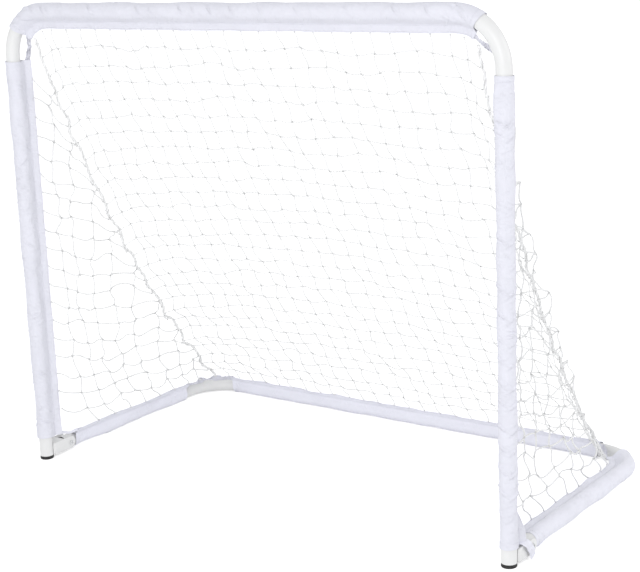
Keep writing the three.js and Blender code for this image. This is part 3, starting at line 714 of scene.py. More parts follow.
def cloth(name, share, crumple):
    """Sleeve cloth, at a share of the settings' colour, with small folds of a given depth."""
    return shared(name, cloth_finish, shade(bpy.context.scene.goal_fabric.colour, share), crumple)


def webbing(name, share):
    colour = shade(bpy.context.scene.goal_fabric.colour, share)
    return shared(name, cloth_finish, colour, pitch=0.0011, depth=0.0003, streak=0.0)


def twine(settings, name, share, pitch):
    return shared(name, twine_finish, shade(settings.colour, share), pitch)


# The values of cloth, webbing and twine
# Cloth with painted light: the left base and rear bar sleeves are the same fabric as the rest, made lighter
# to offset the shade under their flaps
PAINTED_LIGHT_SLEEVE = ("lighter polyester sleeve", 1.11, 0.0012)
SMOOTH = ("smooth polyester sleeve", 1.0, 0.0014)
CREASED = ("creased polyester sleeve", 1.0, 0.0042)
# Cloth with painted light: the right base sleeve is the same creased fabric, made lighter to offset the shade
# that falls on it
PAINTED_LIGHT_CREASED_SLEEVE = ("lighter creased polyester sleeve", 1.09, 0.0042)
BINDING = ("woven binding tape", 1.06)
# The lower ties' tape is the same webbing made lighter as painted light, since the ties face away from the
# lamps
TIE = ("woven tie tape", 1.16)
THREAD = ("sewing thread", 0.93, 0.001)
NET_TWINE = ("knotted net twine", 1.0, 0.006)
CORD_TWINE = ("border cord twine", 1.02, 0.009)


# Fabric on the tubes

# Look is the values of cloth, crumple the share of the settings' crease height, and heroes are single
# creases, each the values of crease. Hems and flares are given for the first and the last end.
Sleeve = namedtuple("Sleeve", "node line begin finish seed rests_on look crumple hems flares heroes")


def sleeve_section(across):
    """Place and outward direction on the sleeve's section, for places across the flat cut.

    Half the cut runs from the back of the tube round to where it leaves it, straight to the seam, and along
    the flap. The first axis points along the flap, the second across it."""
    w = np.abs(across)
    hand = np.where(across < 0, -1.0, 1.0)
    angle = np.minimum(w, ARC) / CLOTH_RADIUS
    facing = np.stack((-np.cos(angle), np.sin(angle)), 1)
    share = np.clip((w - ARC) / SEAM_RUN, 0, 1)[:, None]
    place = CLOTH_RADIUS * facing * (1 - share) + np.array((SEAM_REACH, FLAP_GAP)) * share
    past = np.maximum(w - ARC - SEAM_RUN, 0)
    place[:, 0] += past
    facing = np.where((past > 0)[:, None], np.array((0.0, 1.0)), facing)
    place[:, 1] *= hand
    facing[:, 1] *= hand
    return place, facing


def flap_share(reach):
    """0 up to the seam and 1 at the flap's free edge."""
    return smoothstep(reach, SEAM_REACH - 0.002, FLAP_REACH)


def slow_waves(seed, across, along):
    """Soft waves of loose cloth."""
    waves = 0.8 * ripple(seed + 1, along, 0.12, 0.40)
    waves += 0.35 * ripple(seed + 2, along + across * 1.3, 0.06, 0.14)
    return waves + 0.35 * ripple(seed + 3, along * 0.6 - across * 2.1, 0.05, 0.15)


def crease(across, along, place, angle, reach, height, width, bow=0.0):
    """One crease: a sharp ridge between two shallow hollows, fading at its ends.

    Place is across and along the cut; an angle of 0 runs round the tube, a quarter turn along it."""
    limit = CREASE_END * reach
    near = np.nonzero((np.abs(across - place[0]) < limit) & (np.abs(along - place[1]) < limit))[0]
    du, dv = across[near] - place[0], along[near] - place[1]
    t = du * math.cos(angle) + dv * math.sin(angle)
    n = dv * math.cos(angle) - du * math.sin(angle) + bow * t * t
    fade = np.exp(-np.abs(t / reach) ** 3)
    hollow = np.exp(-((np.abs(n) - HOLLOW_PLACE * width) / (HOLLOW_WIDTH * width)) ** 2)
    total = np.zeros(len(across))
    total[near] = height * fade * (np.exp(-(n / width) ** 2) - HOLLOW_DEPTH * hollow)
    return total


def crinkles(seed, across, along, length, height):
    """Creases in loose bunches: most run round the sleeve, others slant from the flap's seam."""
    rng = np.random.default_rng(seed)
    total = np.zeros(len(across))
    spots = []
    for centre in np.arange(0.02, length, BUNCH_SPACING):
        bunch = centre + rng.uniform(-0.025, 0.025)
        sharpness = rng.uniform(0.3, 1.0)
        for _ in range(rng.integers(2, 6)):
            spots.append((bunch + rng.normal(0, 0.012), sharpness))
    for where, sharpness in spots:
        hand = rng.choice((-1, 1))
        place = (hand * rng.uniform(0.004, 0.036), where)
        slant = rng.choice((0.15, 0.5, 0.9), p=(0.35, 0.35, 0.3))
        angle = rng.choice((-1, 1)) * slant + rng.normal(0, 0.15)
        reach, sharp = rng.uniform(0.006, 0.014), sharpness * rng.uniform(0.5, 1.0)
        width, bow = rng.uniform(0.0014, 0.0022), rng.normal(0, 10)
        total += crease(across, along, place, angle, reach, height * sharp, width, bow)
    return total


def sleeve_cloth(part):
    """Flat cloth wrapped round a tube, with its two edges sewn together as a flap."""
    settings = bpy.context.scene.goal_fabric
    length = part.finish - part.begin
    piece, across, along = flat_cut(part.node + "_cloth", 2 * HALF_CUT, length, settings.grid)
    loose = 1 - 0.75 * smoothstep(np.abs(across), ARC + 0.009, ARC + 0.015)
    lift = settings.looseness * (slow_waves(part.seed, across, along) + 0.6) * loose
    height = settings.crease * part.crumple
    lift += crinkles(part.seed + 4, across, along, length, height) * (0.45 + 0.55 * loose)
    for hero in part.heroes:
        lift += crease(across, along, *hero)
    lift *= 0.35 + 0.65 * smoothstep(np.minimum(along, length - along), 0, CALM_END)
    for distance, hem, flare in zip((along, length - along), part.hems, part.flares):
        lift += HEM_RISE * (1 - smoothstep(distance, hem - 0.001, hem + 0.001))
        lift -= HEM_DENT * np.exp(-((distance - hem) / HEM_DENT_WIDTH) ** 2)
        lift += flare * np.exp(-distance / FLARE_FADE)
    lift = np.where(np.abs(across) < ARC, np.maximum(lift, CLOSEST), lift)
    place, facing = sleeve_section(across)
    sway = flap_sway(part.seed, part.begin + along) * flap_share(place[:, 0])
    spread = place + facing * lift[:, None]
    drift = DRIFT * ripple(part.seed + 6, across, 0.06, 0.15, 4)
    down = part.begin + along + drift * (np.exp(-along / CALM_END) - np.exp(-(length - along) / CALM_END))
    points = part.line.beside(down, spread[:, 0], spread[:, 1] + sway)
    shape(piece, points)
    face_away(piece, points - part.line.at(down)[0])
    modify(piece, "SOLIDIFY", thickness=settings.thickness, offset=-1.0)
    smooth(piece, CLOTH_SHARP)
    return piece


def stitch_rows(name, rows):
    """Rows of stitches. Each row holds points along it, and the direction that the cloth faces there."""
    deselect()
    bpy.ops.mesh.primitive_uv_sphere_add(segments=6, ring_count=4, radius=1)
    pattern = added("stitch")
    places, axes = [], []
    for points, facing in rows:
        travelled = travel(points)
        marks = np.arange(STITCH_LENGTH, travelled[-1] - STITCH_LENGTH, 1.35 * STITCH_LENGTH)
        spots = read_at(marks, travelled, points)
        ahead = unit(read_at(marks + 0.001, travelled, points) - spots)
        out = square_to(read_at(marks, travelled, facing), ahead)
        side = np.cross(ahead, out)
        places.append(spots)
        axes.append(np.stack((side * STITCH_WIDTH / 2, out * STITCH_WIDTH / 2, ahead * STITCH_LENGTH / 2), 1))
    return scatter(name, pattern, np.concatenate(places), np.concatenate(axes))


def sleeve_stitches(part):
    """Stitching along both faces of the flap, and round the hems."""
    rows = []
    line, begin, finish = part.line, part.begin, part.finish
    along = np.linspace(begin + 0.004, finish - 0.004, max(12, int((finish - begin) / 0.01)))
    side = line.flap_axes(along)[2]
    for reach in (SEAM_REACH + 0.0022, FLAP_REACH - 0.003):
        for hand in (-1, 1):
            sway = flap_sway(part.seed, along) * flap_share(reach) + hand * (FLAP_GAP + 0.0001)
            rows.append((line.beside(along, reach, sway), side * hand))
    place, facing = sleeve_section(np.linspace(-ARC, ARC, 40))
    place += facing * STITCH_LIFT
    for distance in (begin + part.hems[0] - 0.0015, finish - part.hems[1] + 0.0015):
        down = np.full(len(place), distance)
        points = line.beside(down, place[:, 0], place[:, 1])
        rows.append((points, points - line.at(down)[0]))
    return stitch_rows(part.node + "_stitching", rows)


def ribbon(name, path, widths, facing, thickness, wobble, seed, gathers=0.0):
    """A tape along a path, with its widths and the directions that it faces at each point.

    Returns the piece and its length."""
    travelled = travel(path)
    widest = float(np.max(widths))
    piece, across, along = flat_cut(name, widest, travelled[-1], TAPE_GRID)
    ahead = unit(read_at(along, travelled, np.gradient(path, travelled, axis=0)))
    out = square_to(read_at(along, travelled, facing), ahead)
    share = across / widest
    offset = share * read_at(along, travelled, widths)
    lift = wobble * ripple(seed, along + 0.4 * across, 0.012, 0.05)
    lift += gathers * (0.5 + np.abs(share)) * ripple(seed + 5, along * 1.7 + across * 2.4, 0.006, 0.014)
    centre = read_at(along, travelled, path)
    shape(piece, centre + np.cross(ahead, out) * offset[:, None] + out * lift[:, None])
    modify(piece, "SOLIDIFY", thickness=thickness, offset=0.0)
    round_shaded(piece)
    smooth(piece, CLOTH_SHARP)
    return piece, travelled[-1]


# Nets

def border_curve(side, t):
    """The border cord's middle line from the top corner to the rear corner, with its waves."""
    sag, wave, seed = CORDS[side]
    t = np.asarray(t, float)
    top = flap_edge(FRONT, side, [FRONT.corner], CORD_SEAT)[0]
    rear = flap_edge(BASE, side, [BASE.corner], CORD_SEAT)[0]
    bulge = (top + rear) / 2 + 2 * np.array(sag)
    u = t[..., None]
    points = (1 - u) ** 2 * top + 2 * u * (1 - u) * bulge + u * u * rear
    length = np.linalg.norm(rear - top)
    lift = np.cross((rear - top) / length, ACROSS_X)
    fade = np.clip(np.minimum(t, 1 - t) / 0.06, 0, 1)[..., None]
    for number, way, longest in ((0, ACROSS_X, 0.12), (1, lift, 0.14)):
        points = points + fade * wave * ripple(seed + number, t * length, 0.055, longest)[..., None] * way
    return points


def sewn_edge(line, side, begin, finish):
    """A net's boundary along a flap, as a function of the share of the way from begin to finish."""
    def boundary(t):
        return flap_edge(line, side, begin + (finish - begin) * np.asarray(t), SEWN_ON)

    return boundary


def pinned(curve, first, last, start_power=PIN_POWER):
    """Moves a boundary's ends onto shared corners, fading out along it, faster with a higher power."""
    start, end = first - curve(START)[0], last - curve(END)[0]

    def moved(t):
        t = np.asarray(t, float)
        u = t[..., None]
        return curve(t) + start * (1 - u) ** start_power + end * u ** PIN_POWER

    return moved


def relax(knots, fixed, edges, rest):
    """Lets free knots hang: each pass drops them a little, then draws in every strand that is too long."""
    knots = knots.copy()
    a, b = edges[:, 0], edges[:, 1]
    weight = np.where(fixed, 0.0, 1.0)
    total = np.maximum(weight[a] + weight[b], 1e-9)
    uses = np.bincount(edges.ravel(), minlength=len(knots))[:, None] * 0.5
    for _ in range(HANG_PASSES):
        knots += DOWN * HANG_STEP * weight[:, None]
        for _ in range(HANG_PULLS):
            span = knots[b] - knots[a]
            size = np.linalg.norm(span, axis=1)
            pull = np.maximum(size - rest, 0) / np.maximum(size, 1e-9)
            step = span * pull[:, None]
            move = np.zeros_like(knots)
            np.add.at(move, a, step * (weight[a] / total)[:, None])
            np.add.at(move, b, -step * (weight[b] / total)[:, None])
            knots += move / np.maximum(uses, 1)
    return knots


def strand_paths(knots, edges, rest, rng):
    """Each strand as a short curve that bows and kinks by as much as its spare length allows."""
    a, b = knots[edges[:, 0]], knots[edges[:, 1]]
    span = b - a
    size = np.linalg.norm(span, axis=1)
    ahead = span / size[:, None]
    spare = np.clip(rest / size - 1, 0.0, 0.16) + 0.003
    bow = (np.sqrt(0.375 * spare) * size)[:, None, None]
    lean = square_to(DOWN * 0.7 + rng.normal(0, 0.8, span.shape), ahead)
    turn = square_to(rng.normal(0, 1, span.shape), ahead)
    share = rng.uniform(0.15, 0.9, (len(span), 1, 1))
    t = np.linspace(0, 1, STRAND_STEPS + 1)[None, :, None]
    arch = (4 * t * (1 - t)) ** 0.8
    wave = np.sin(2 * math.pi * t)
    return (a[:, None] + span[:, None] * t + lean[:, None] * bow * arch * share
            + turn[:, None] * bow * wave * 0.5 * (1 - share))


def knot_pattern(size):
    """One small overhand knot of twine, about its own middle."""
    t = np.linspace(0, 2 * math.pi, 13)[:-1]
    turns = (np.sin(t) + 2 * np.sin(2 * t), np.cos(t) - 2 * np.cos(2 * t), -1.3 * np.sin(3 * t))
    path = np.stack(turns, 1)[None] / 3 * size * KNOT_SPREAD
    return tube_mesh("knot", path, size * KNOT_TWINE, 4, closed=True)


def loop_pattern(radius, thickness):
    """One turn of twine round a cord."""
    t = np.linspace(0, 2 * math.pi, 11)[:-1]
    path = np.stack((radius * np.cos(t), radius * np.sin(t), 0.15 * radius * np.sin(2 * t)), 1)[None]
    return tube_mesh("loop", path, thickness / 2, 4, closed=True)


def random_axes(rng, count):
    """A random turn, and nearly full size, for each of several small pieces."""
    turns = [np.array(Euler(rng.uniform(-math.pi, math.pi, 3)).to_matrix()) for _ in range(count)]
    return np.array(turns) * rng.uniform(0.88, 1.15, (count, 1, 1))


def net_piece(name, panel, slack, unevenness, seed, thickness):
    """A panel of knotted netting hung from its fixed knots, with meshes that pull unevenly on each other."""
    knots, fixed, edges = panel
    rng = np.random.default_rng(seed)
    free = ~fixed[:, None]
    drift = np.stack([ripple(seed + k, knots @ rng.normal(0, 1, 3), 0.10, 0.35, 5) for k in range(3)], 1)
    knots = knots + free * unevenness * (0.9 * drift + rng.normal(0, 0.8, knots.shape))
    size = np.linalg.norm(knots[edges[:, 1]] - knots[edges[:, 0]], axis=1)
    rest = size * rng.uniform(1.0, 1 + slack, len(edges))
    hung = relax(knots, fixed, edges, rest)
    inner = ~(fixed[edges[:, 0]] & fixed[edges[:, 1]])
    paths = strand_paths(hung, edges[inner], rest[inner], rng)
    strands = tube_mesh(name, paths, thickness / 2 * rng.uniform(0.92, 1.1, (len(paths), 1)), 5)
    tied = hung[np.unique(edges[inner])]
    ties = scatter(name + " knots", knot_pattern(thickness), tied, random_axes(rng, len(tied)))
    return joined(name, [strands, ties])


def back_net_knots():
    """Knots of the four-sided panel between crossbar, rear bar and both cords."""
    settings = bpy.context.scene.goal_net

    def left(t):
        return border_curve(-1, t) + ACROSS_X * BESIDE_CORD

    def right(t):
        return border_curve(1, t) - ACROSS_X * BESIDE_CORD

    boundaries = []
    for line, end in ((FRONT, START), (BASE, END)):
        edge = sewn_edge(line, -1, line.corner, line.length - line.corner)
        boundaries.append(pinned(edge, left(end)[0], right(end)[0]))
    top, rear = boundaries
    j, i = np.meshgrid(np.arange(settings.rows + 1), np.arange(settings.columns + 1), indexing="ij")
    u, v = (i / settings.columns).ravel(), (j / settings.rows).ravel()
    right_share, down = u[:, None], v[:, None]
    by_left, by_right = (1 - right_share) ** 4, right_share ** 4
    knots = top(u) * (1 - down) + rear(u) * down
    for share, cord in ((by_left, left), (by_right, right)):
        knots += share * (cord(v) - cord(START) * (1 - down) - cord(END) * down)
    knots += (1 - by_left - by_right) * np.sin(math.pi * down) * np.array(NET_SAG)
    fixed = (i == 0) | (j == 0) | (i == settings.columns) | (j == settings.rows)
    index = j * (settings.columns + 1) + i
    sideways = np.stack((index[:, :-1].ravel(), index[:, 1:].ravel()), 1)
    downwards = np.stack((index[:-1].ravel(), index[1:].ravel()), 1)
    return knots, fixed.ravel(), np.concatenate((sideways, downwards))


def side_net_knots(side):
    """Knots of a three-sided panel, on shares of the way to the rear and to the top."""
    settings = bpy.context.scene.goal_net
    columns, rows = settings.side_columns, settings.side_rows
    post_from = (LEFT_HEM if side < 0 else RIGHT_HEM) + NET_START
    base_from = (LEFT_BASE_FROM if side < 0 else BASE.length - RIGHT_BASE_TO) + NET_START
    post_line = sewn_edge(FRONT, side, post_from, FRONT.corner)
    base_line = sewn_edge(BASE, side, base_from, BASE.corner)

    def border(t):
        step = 0.004
        t = 1 - np.asarray(t, float)
        run = border_curve(side, np.clip(t + step, 0, 1)) - border_curve(side, np.clip(t - step, 0, 1))
        away = np.stack((np.zeros(t.shape), run[..., 2], -run[..., 1]), -1)
        return border_curve(side, t) + unit(away) * BESIDE_CORD

    corner = (post_line(START)[0] + base_line(START)[0]) / 2
    rear, top = border(START)[0], border(END)[0]
    front = pinned(post_line, corner, top, POST_PIN_POWER)
    bottom = pinned(base_line, corner, rear, BASE_PIN_POWER)

    def flat(a, b):
        return corner * (1 - a - b)[:, None] + rear * a[:, None] + top * b[:, None]

    def knot_at(a, b):
        """A point of the flat triangle, moved by as much as each boundary is away from its straight side."""
        a, b = np.array([a]), np.array([b])
        point = flat(a, b)
        for far, share, boundary, straight in (
            (b, a, bottom, lambda t: flat(t, 0 * t)),
            (a, b, front, lambda t: flat(0 * t, t)),
            (1 - a - b, b, border, lambda t: flat(1 - t, t)),
        ):
            if far[0] < 1:
                t = share / (1 - far)
                point = point + (boundary(t) - straight(t)) * (1 - far)
        return point[0]

    knots, places, edges = [], {}, []

    def knot(a, b):
        """The knots above the foot lie nearer to the post, so the upright strands lean."""
        key = (round(a, 6), round(b, 6))
        if key not in places:
            places[key] = len(knots)
            knots.append(knot_at(a * (1 - NET_LEAN_SHARE * b * (1 - a - b)), b))
        return places[key]

    def strand(spots, last):
        run = [knot(a, b) for a, b in spots if a + b < 1 - NEAR] + [knot(*last)]
        edges.extend(zip(run[:-1], run[1:]))

    for i in range(columns):
        a = i / columns
        strand([(a, j / rows) for j in range(rows)], (a, 1 - a))
    for j in range(rows):
        b = j / rows
        strand([(i / columns, b) for i in range(columns)], (1 - b, b))
    fixed = np.zeros(len(knots), bool)
    for (a, b), index in places.items():
        fixed[index] = a < NEAR or b < NEAR or a + b > 1 - NEAR
    return np.array(knots), fixed, np.array(edges)


# Operators

class GOAL_OT_studio(bpy.types.Operator):
    """Camera at the photograph's angle, pale floor and soft light"""

    bl_idname = "scene.goal_studio"
    bl_label = "Studio"

    def execute(self, context):
        settings = context.scene.goal_stage
        camera = bpy.data.objects.new("Camera", bpy.data.cameras.new("Camera"))
        camera.location = CAMERA_PLACE
        camera.rotation_euler = Euler([math.radians(degrees) for degrees in CAMERA_DEGREES])
        camera.data.lens = CAMERA_LENS
        camera.data.sensor_width = 36
        camera.data.clip_end = 200
        context.scene.collection.objects.link(camera)
        context.scene.camera = camera

        deselect()
        bpy.ops.mesh.primitive_grid_add(x_subdivisions=8, y_subdivisions=8, size=FLOOR_SIZE)
        floor = added("studio floor")
        floor.data.materials.append(self.floor_finish(settings))
        for name, size, place in LAMPS:
            self.light(name, getattr(settings, name + "_power"), size, place)

        world = bpy.data.worlds.new("Studio")
        context.scene.world = world
        world.use_nodes = True
        sky = Nodes(world.node_tree)
        even = world.node_tree.nodes["Background"]
        sky.set(even, {"Color": (0.975, 0.985, 1, 1), "Strength": settings.ambient})
        white = sky.node("Background", {"Color": (1, 1, 1, 1), "Strength": 1})
        mix = sky.node("MixShader", {0: sky.seen_rays(), 1: even.outputs[0], 2: white.outputs[0]})
        sky.set(world.node_tree.nodes["World Output"], {"Surface": mix.outputs[0]})
        context.scene.view_settings.view_transform = "Standard"
        return {"FINISHED"}

    def floor_finish(self, settings):
        colour = tuple(settings.floor_colour)
        finish = Finish("pale studio floor", colour, 0.9, Specular_IOR_Level=0.1)
        tone = finish.ramp(finish.noise(0.8, 2), (0.3, shade(colour, 0.99)), (0.7, colour))
        glow = finish.math("MULTIPLY", finish.seen_rays(), settings.floor_glow)
        finish.show(Base_Color=tone, Emission_Strength=glow, Emission_Color=(1, 1, 1, 1))
        return finish.material

    def light(self, name, power, size, place):
        lamp = bpy.data.lights.new(name, "AREA")
        lamp.energy = power
        lamp.size = size
        light = bpy.data.objects.new(name, lamp)
        light.location = place
        light.rotation_euler = (Vector(LAMP_AIM) - Vector(place)).to_track_quat("-Z", "Y").to_euler()
        bpy.context.scene.collection.objects.link(light)


class GOAL_OT_tubes(bpy.types.Operator):
    """Bent steel tubes of both frames, and the finish of the bars inside the sleeves"""

    bl_idname = "mesh.goal_tubes"
    bl_label = "Tubes"

    def execute(self, context):
        for hand, side in SIDES:
            for kind, line in (("_post_tube", FRONT), ("_base_tube", BASE)):
                piece = self.bent_tube(hand + kind + "_steel", line, side)
                seat(piece, enamel(), "enamel", line.body, hand + kind)
        for node in ("crossbar_tube", "rear_bar_tube"):
            self.refinish(frame["nodes"][node], enamel())
        for corner in ("top_left", "top_right", "rear_left", "rear_right"):
            self.refinish(frame["nodes"][corner + "_snap_button"], steel())
        return {"FINISHED"}

    def refinish(self, node, finish):
        for slot in node.material_slots:
            slot.material = finish

    def bent_tube(self, name, line, side):
        """A ring drawn out along the leg, spun round the bend and drawn out again."""
        settings = bpy.context.scene.goal_tube
        up = Vector(line.up)
        start = Vector(line.origin) + Vector((side * POST_X, 0, 0)) + up * line.foot
        deselect()
        bpy.ops.mesh.primitive_circle_add(
            vertices=settings.sides, radius=TUBE_RADIUS, location=start,
            rotation=up.to_track_quat("Z", "Y").to_euler())
        piece = added(name)
        bpy.ops.object.transform_apply(location=True, rotation=True, scale=True)
        centre = start + up * line.leg - Vector((side * BEND_RADIUS, 0, 0))
        axis = up.cross(Vector((side, 0, 0)))
        with editing(piece):
            bpy.ops.mesh.extrude_edges_move(TRANSFORM_OT_translate={"value": up * line.leg})
            bpy.ops.mesh.spin(steps=settings.bend_steps, angle=math.pi / 2, center=centre, axis=axis)
            bpy.ops.mesh.extrude_edges_move(TRANSFORM_OT_translate={"value": Vector((-side * STUB, 0, 0))})
        merge_and_face(piece)
        modify(piece, "SOLIDIFY", thickness=settings.wall, offset=-1.0)
        smooth(piece, METAL_SHARP)
        return piece


class GOAL_OT_hinges(bpy.types.Operator):
    """Two-eared brackets behind the post feet, with hollow rivets"""

    bl_idname = "mesh.goal_hinges"
    bl_label = "Hinges"

    def execute(self, context):
        for hand, side in SIDES:
            bracket = self.bracket(hand + "_bracket_plates", side)
            seat(bracket, enamel(), "enamel", "front_frame", hand + "_hinge_bracket")
            rivet = self.rivet(hand + "_rivet_turned", side)
            seat(rivet, steel(), "steel", "front_frame", hand + "_hinge_rivet")
        return {"FINISHED"}

    def ear(self, x):
        """A disc whose front half is drawn out to the post, with corners that are cut back a little."""
        deselect()
        bpy.ops.mesh.primitive_circle_add(vertices=56, radius=EAR_RADIUS, fill_type="NGON")
        piece = added("ear")
        y, z = points_of(piece)[:, :2].T
        front = y < -1e-6
        square = 1 / np.maximum(np.abs(y), np.abs(z)) * EAR_RADIUS
        reach = PIVOT_SETBACK - EAR_FRONT
        ear_y = np.where(front, y * square * reach / EAR_RADIUS, y)
        ear_z = np.where(front, z * square, z)
        at_corner = front & (np.abs(ear_z) > 0.9 * EAR_RADIUS) & (np.abs(ear_y) > 0.9 * reach)
        cut_back = 1 - 0.03 * at_corner
        places = (np.full(len(y), x), HINGE[1] + ear_y * cut_back, HINGE[2] + ear_z * cut_back)
        shape(piece, np.stack(places, 1))
        modify(piece, "SOLIDIFY", thickness=EAR_THICKNESS, offset=0.0)
        merge_and_face(piece)
        modify(piece, "BEVEL", width=0.0006, segments=3, limit_method="ANGLE", angle_limit=math.radians(40))
        return piece

    def plate(self, piece, x, y, z, away):
        """A thin plate through the given places."""
        points = np.stack((x, y, z), 1)
        shape(piece, points)
        face_away(piece, away(points))
        modify(piece, "SOLIDIFY", thickness=PLATE_THICKNESS, offset=0.0)
        return piece

    def web(self, side):
        """The web between the ears, curved to the back of the post."""
        piece, across, along = flat_cut("web", 2.0, 2 * EAR_RADIUS, PLATE_GRID)
        inside = math.acos(EAR_INNER / (TUBE_RADIUS + 0.0016))
        angle = (0.5 + across / 2 * (1 - 2 * inside / math.pi)) * math.pi
        radius = TUBE_RADIUS + 0.0003 + EAR_THICKNESS / 2
        x = np.minimum(radius, EAR_INNER + 0.0005) * np.cos(angle)
        y = np.maximum(radius * np.sin(angle), TUBE_RADIUS - 0.004)
        return self.plate(piece, side * POST_X + x, POST_Y + y, HINGE[2] - EAR_RADIUS + along,
                          lambda points: (points - (side * POST_X, POST_Y, 0)) * (1, 1, 0))

    def lip(self, side):
        """The top of the bracket between the ears. It ends short of the base tube's turning end."""
        piece, across, along = flat_cut("lip", 2 * EAR_INNER + 0.001, LIP_REACH, PLATE_GRID)
        around = np.sqrt((TUBE_RADIUS + 0.0004) ** 2 - np.minimum(np.abs(across), 0.0123) ** 2)
        y = POST_Y + around + (LIP_REACH - around) * along / LIP_REACH
        z = np.full(len(y), HINGE[2] + EAR_RADIUS - LIP_DROP)
        return self.plate(piece, side * POST_X + across, y, z, lambda points: -DOWN)

    def weld(self, side, hand):
        """A bead of weld that fills the corner between an ear's front edge and the post."""
        z = np.linspace(HINGE[2] - EAR_RADIUS + 0.001, HINGE[2] + EAR_RADIUS - 0.001, 36)
        path = np.empty((1, len(z), 3))
        path[0, :, 0] = side * POST_X + hand * WELD_PLACE[0]
        path[0, :, 1] = POST_Y + WELD_PLACE[1]
        path[0, :, 2] = z
        radius = WELD_RADIUS + 0.0002 * ripple(91 + hand, z, 0.003, 0.006, 4)
        return tube_mesh("weld", path, radius[None], 8)

    def bracket(self, name, side):
        pieces = [self.web(side), self.lip(side)]
        for hand in (-1, 1):
            pieces.append(self.ear(side * POST_X + hand * (EAR_INNER + EAR_THICKNESS / 2)))
            pieces.append(self.weld(side, hand))
        piece = joined(name, pieces)
        smooth(piece, METAL_SHARP)
        return piece

    def rivet(self, name, side):
        """A hollow rivet with rolled heads, its open end to the right."""
        seat_at = EAR_INNER + EAR_THICKNESS + RIVET_GAP
        face = seat_at + RIVET_HEAD
        profile = [
            (0.0, -face), (0.0022, -face), (0.0040, -face + 0.0003), (0.0052, -face + 0.0010),
            (0.0055, -face + 0.0018), (0.0054, -seat_at), (0.0038, -seat_at), (0.0038, seat_at),
            (0.0054, seat_at), (0.0056, seat_at + 0.0007), (0.0053, face - 0.0006), (0.0045, face - 0.0001),
            (0.0036, face), (0.0030, face - 0.0003), (0.0026, face - 0.0011), (0.0025, face - RIVET_HOLE),
            (0.0, face - RIVET_HOLE),
        ]
        return lathe(name, profile, (side * POST_X, HINGE[1], HINGE[2]), (1, 0, 0), 32)


class GOAL_OT_feet(bpy.types.Operator):
    """Black rubber caps under the posts"""

    bl_idname = "mesh.goal_feet"
    bl_label = "Feet"

    def execute(self, context):
        finish = shared("black moulded rubber", rubber_finish)
        profile = [
            (0.0, 0.0012), (0.0105, 0.0012), (0.0115, 0.0002), (0.0140, 0.0), (0.0152, 0.0005),
            (0.0158, 0.0016), (0.0159, 0.0030), (0.0156, 0.0036), (0.0159, 0.0042), (0.0159, 0.0070),
            (0.0156, 0.0077), (0.0149, 0.0080), (0.0138, 0.0080), (0.0138, 0.0284), (0.0125, 0.0299),
            (0.0, 0.0299),
        ]
        for hand, side in SIDES:
            cap = lathe(hand + "_foot_moulding", profile, (side * POST_X, POST_Y, 0), (0, 0, 1), 48)
            seat(cap, finish, "rubber", "front_frame", hand + "_foot_cap")
        return {"FINISHED"}


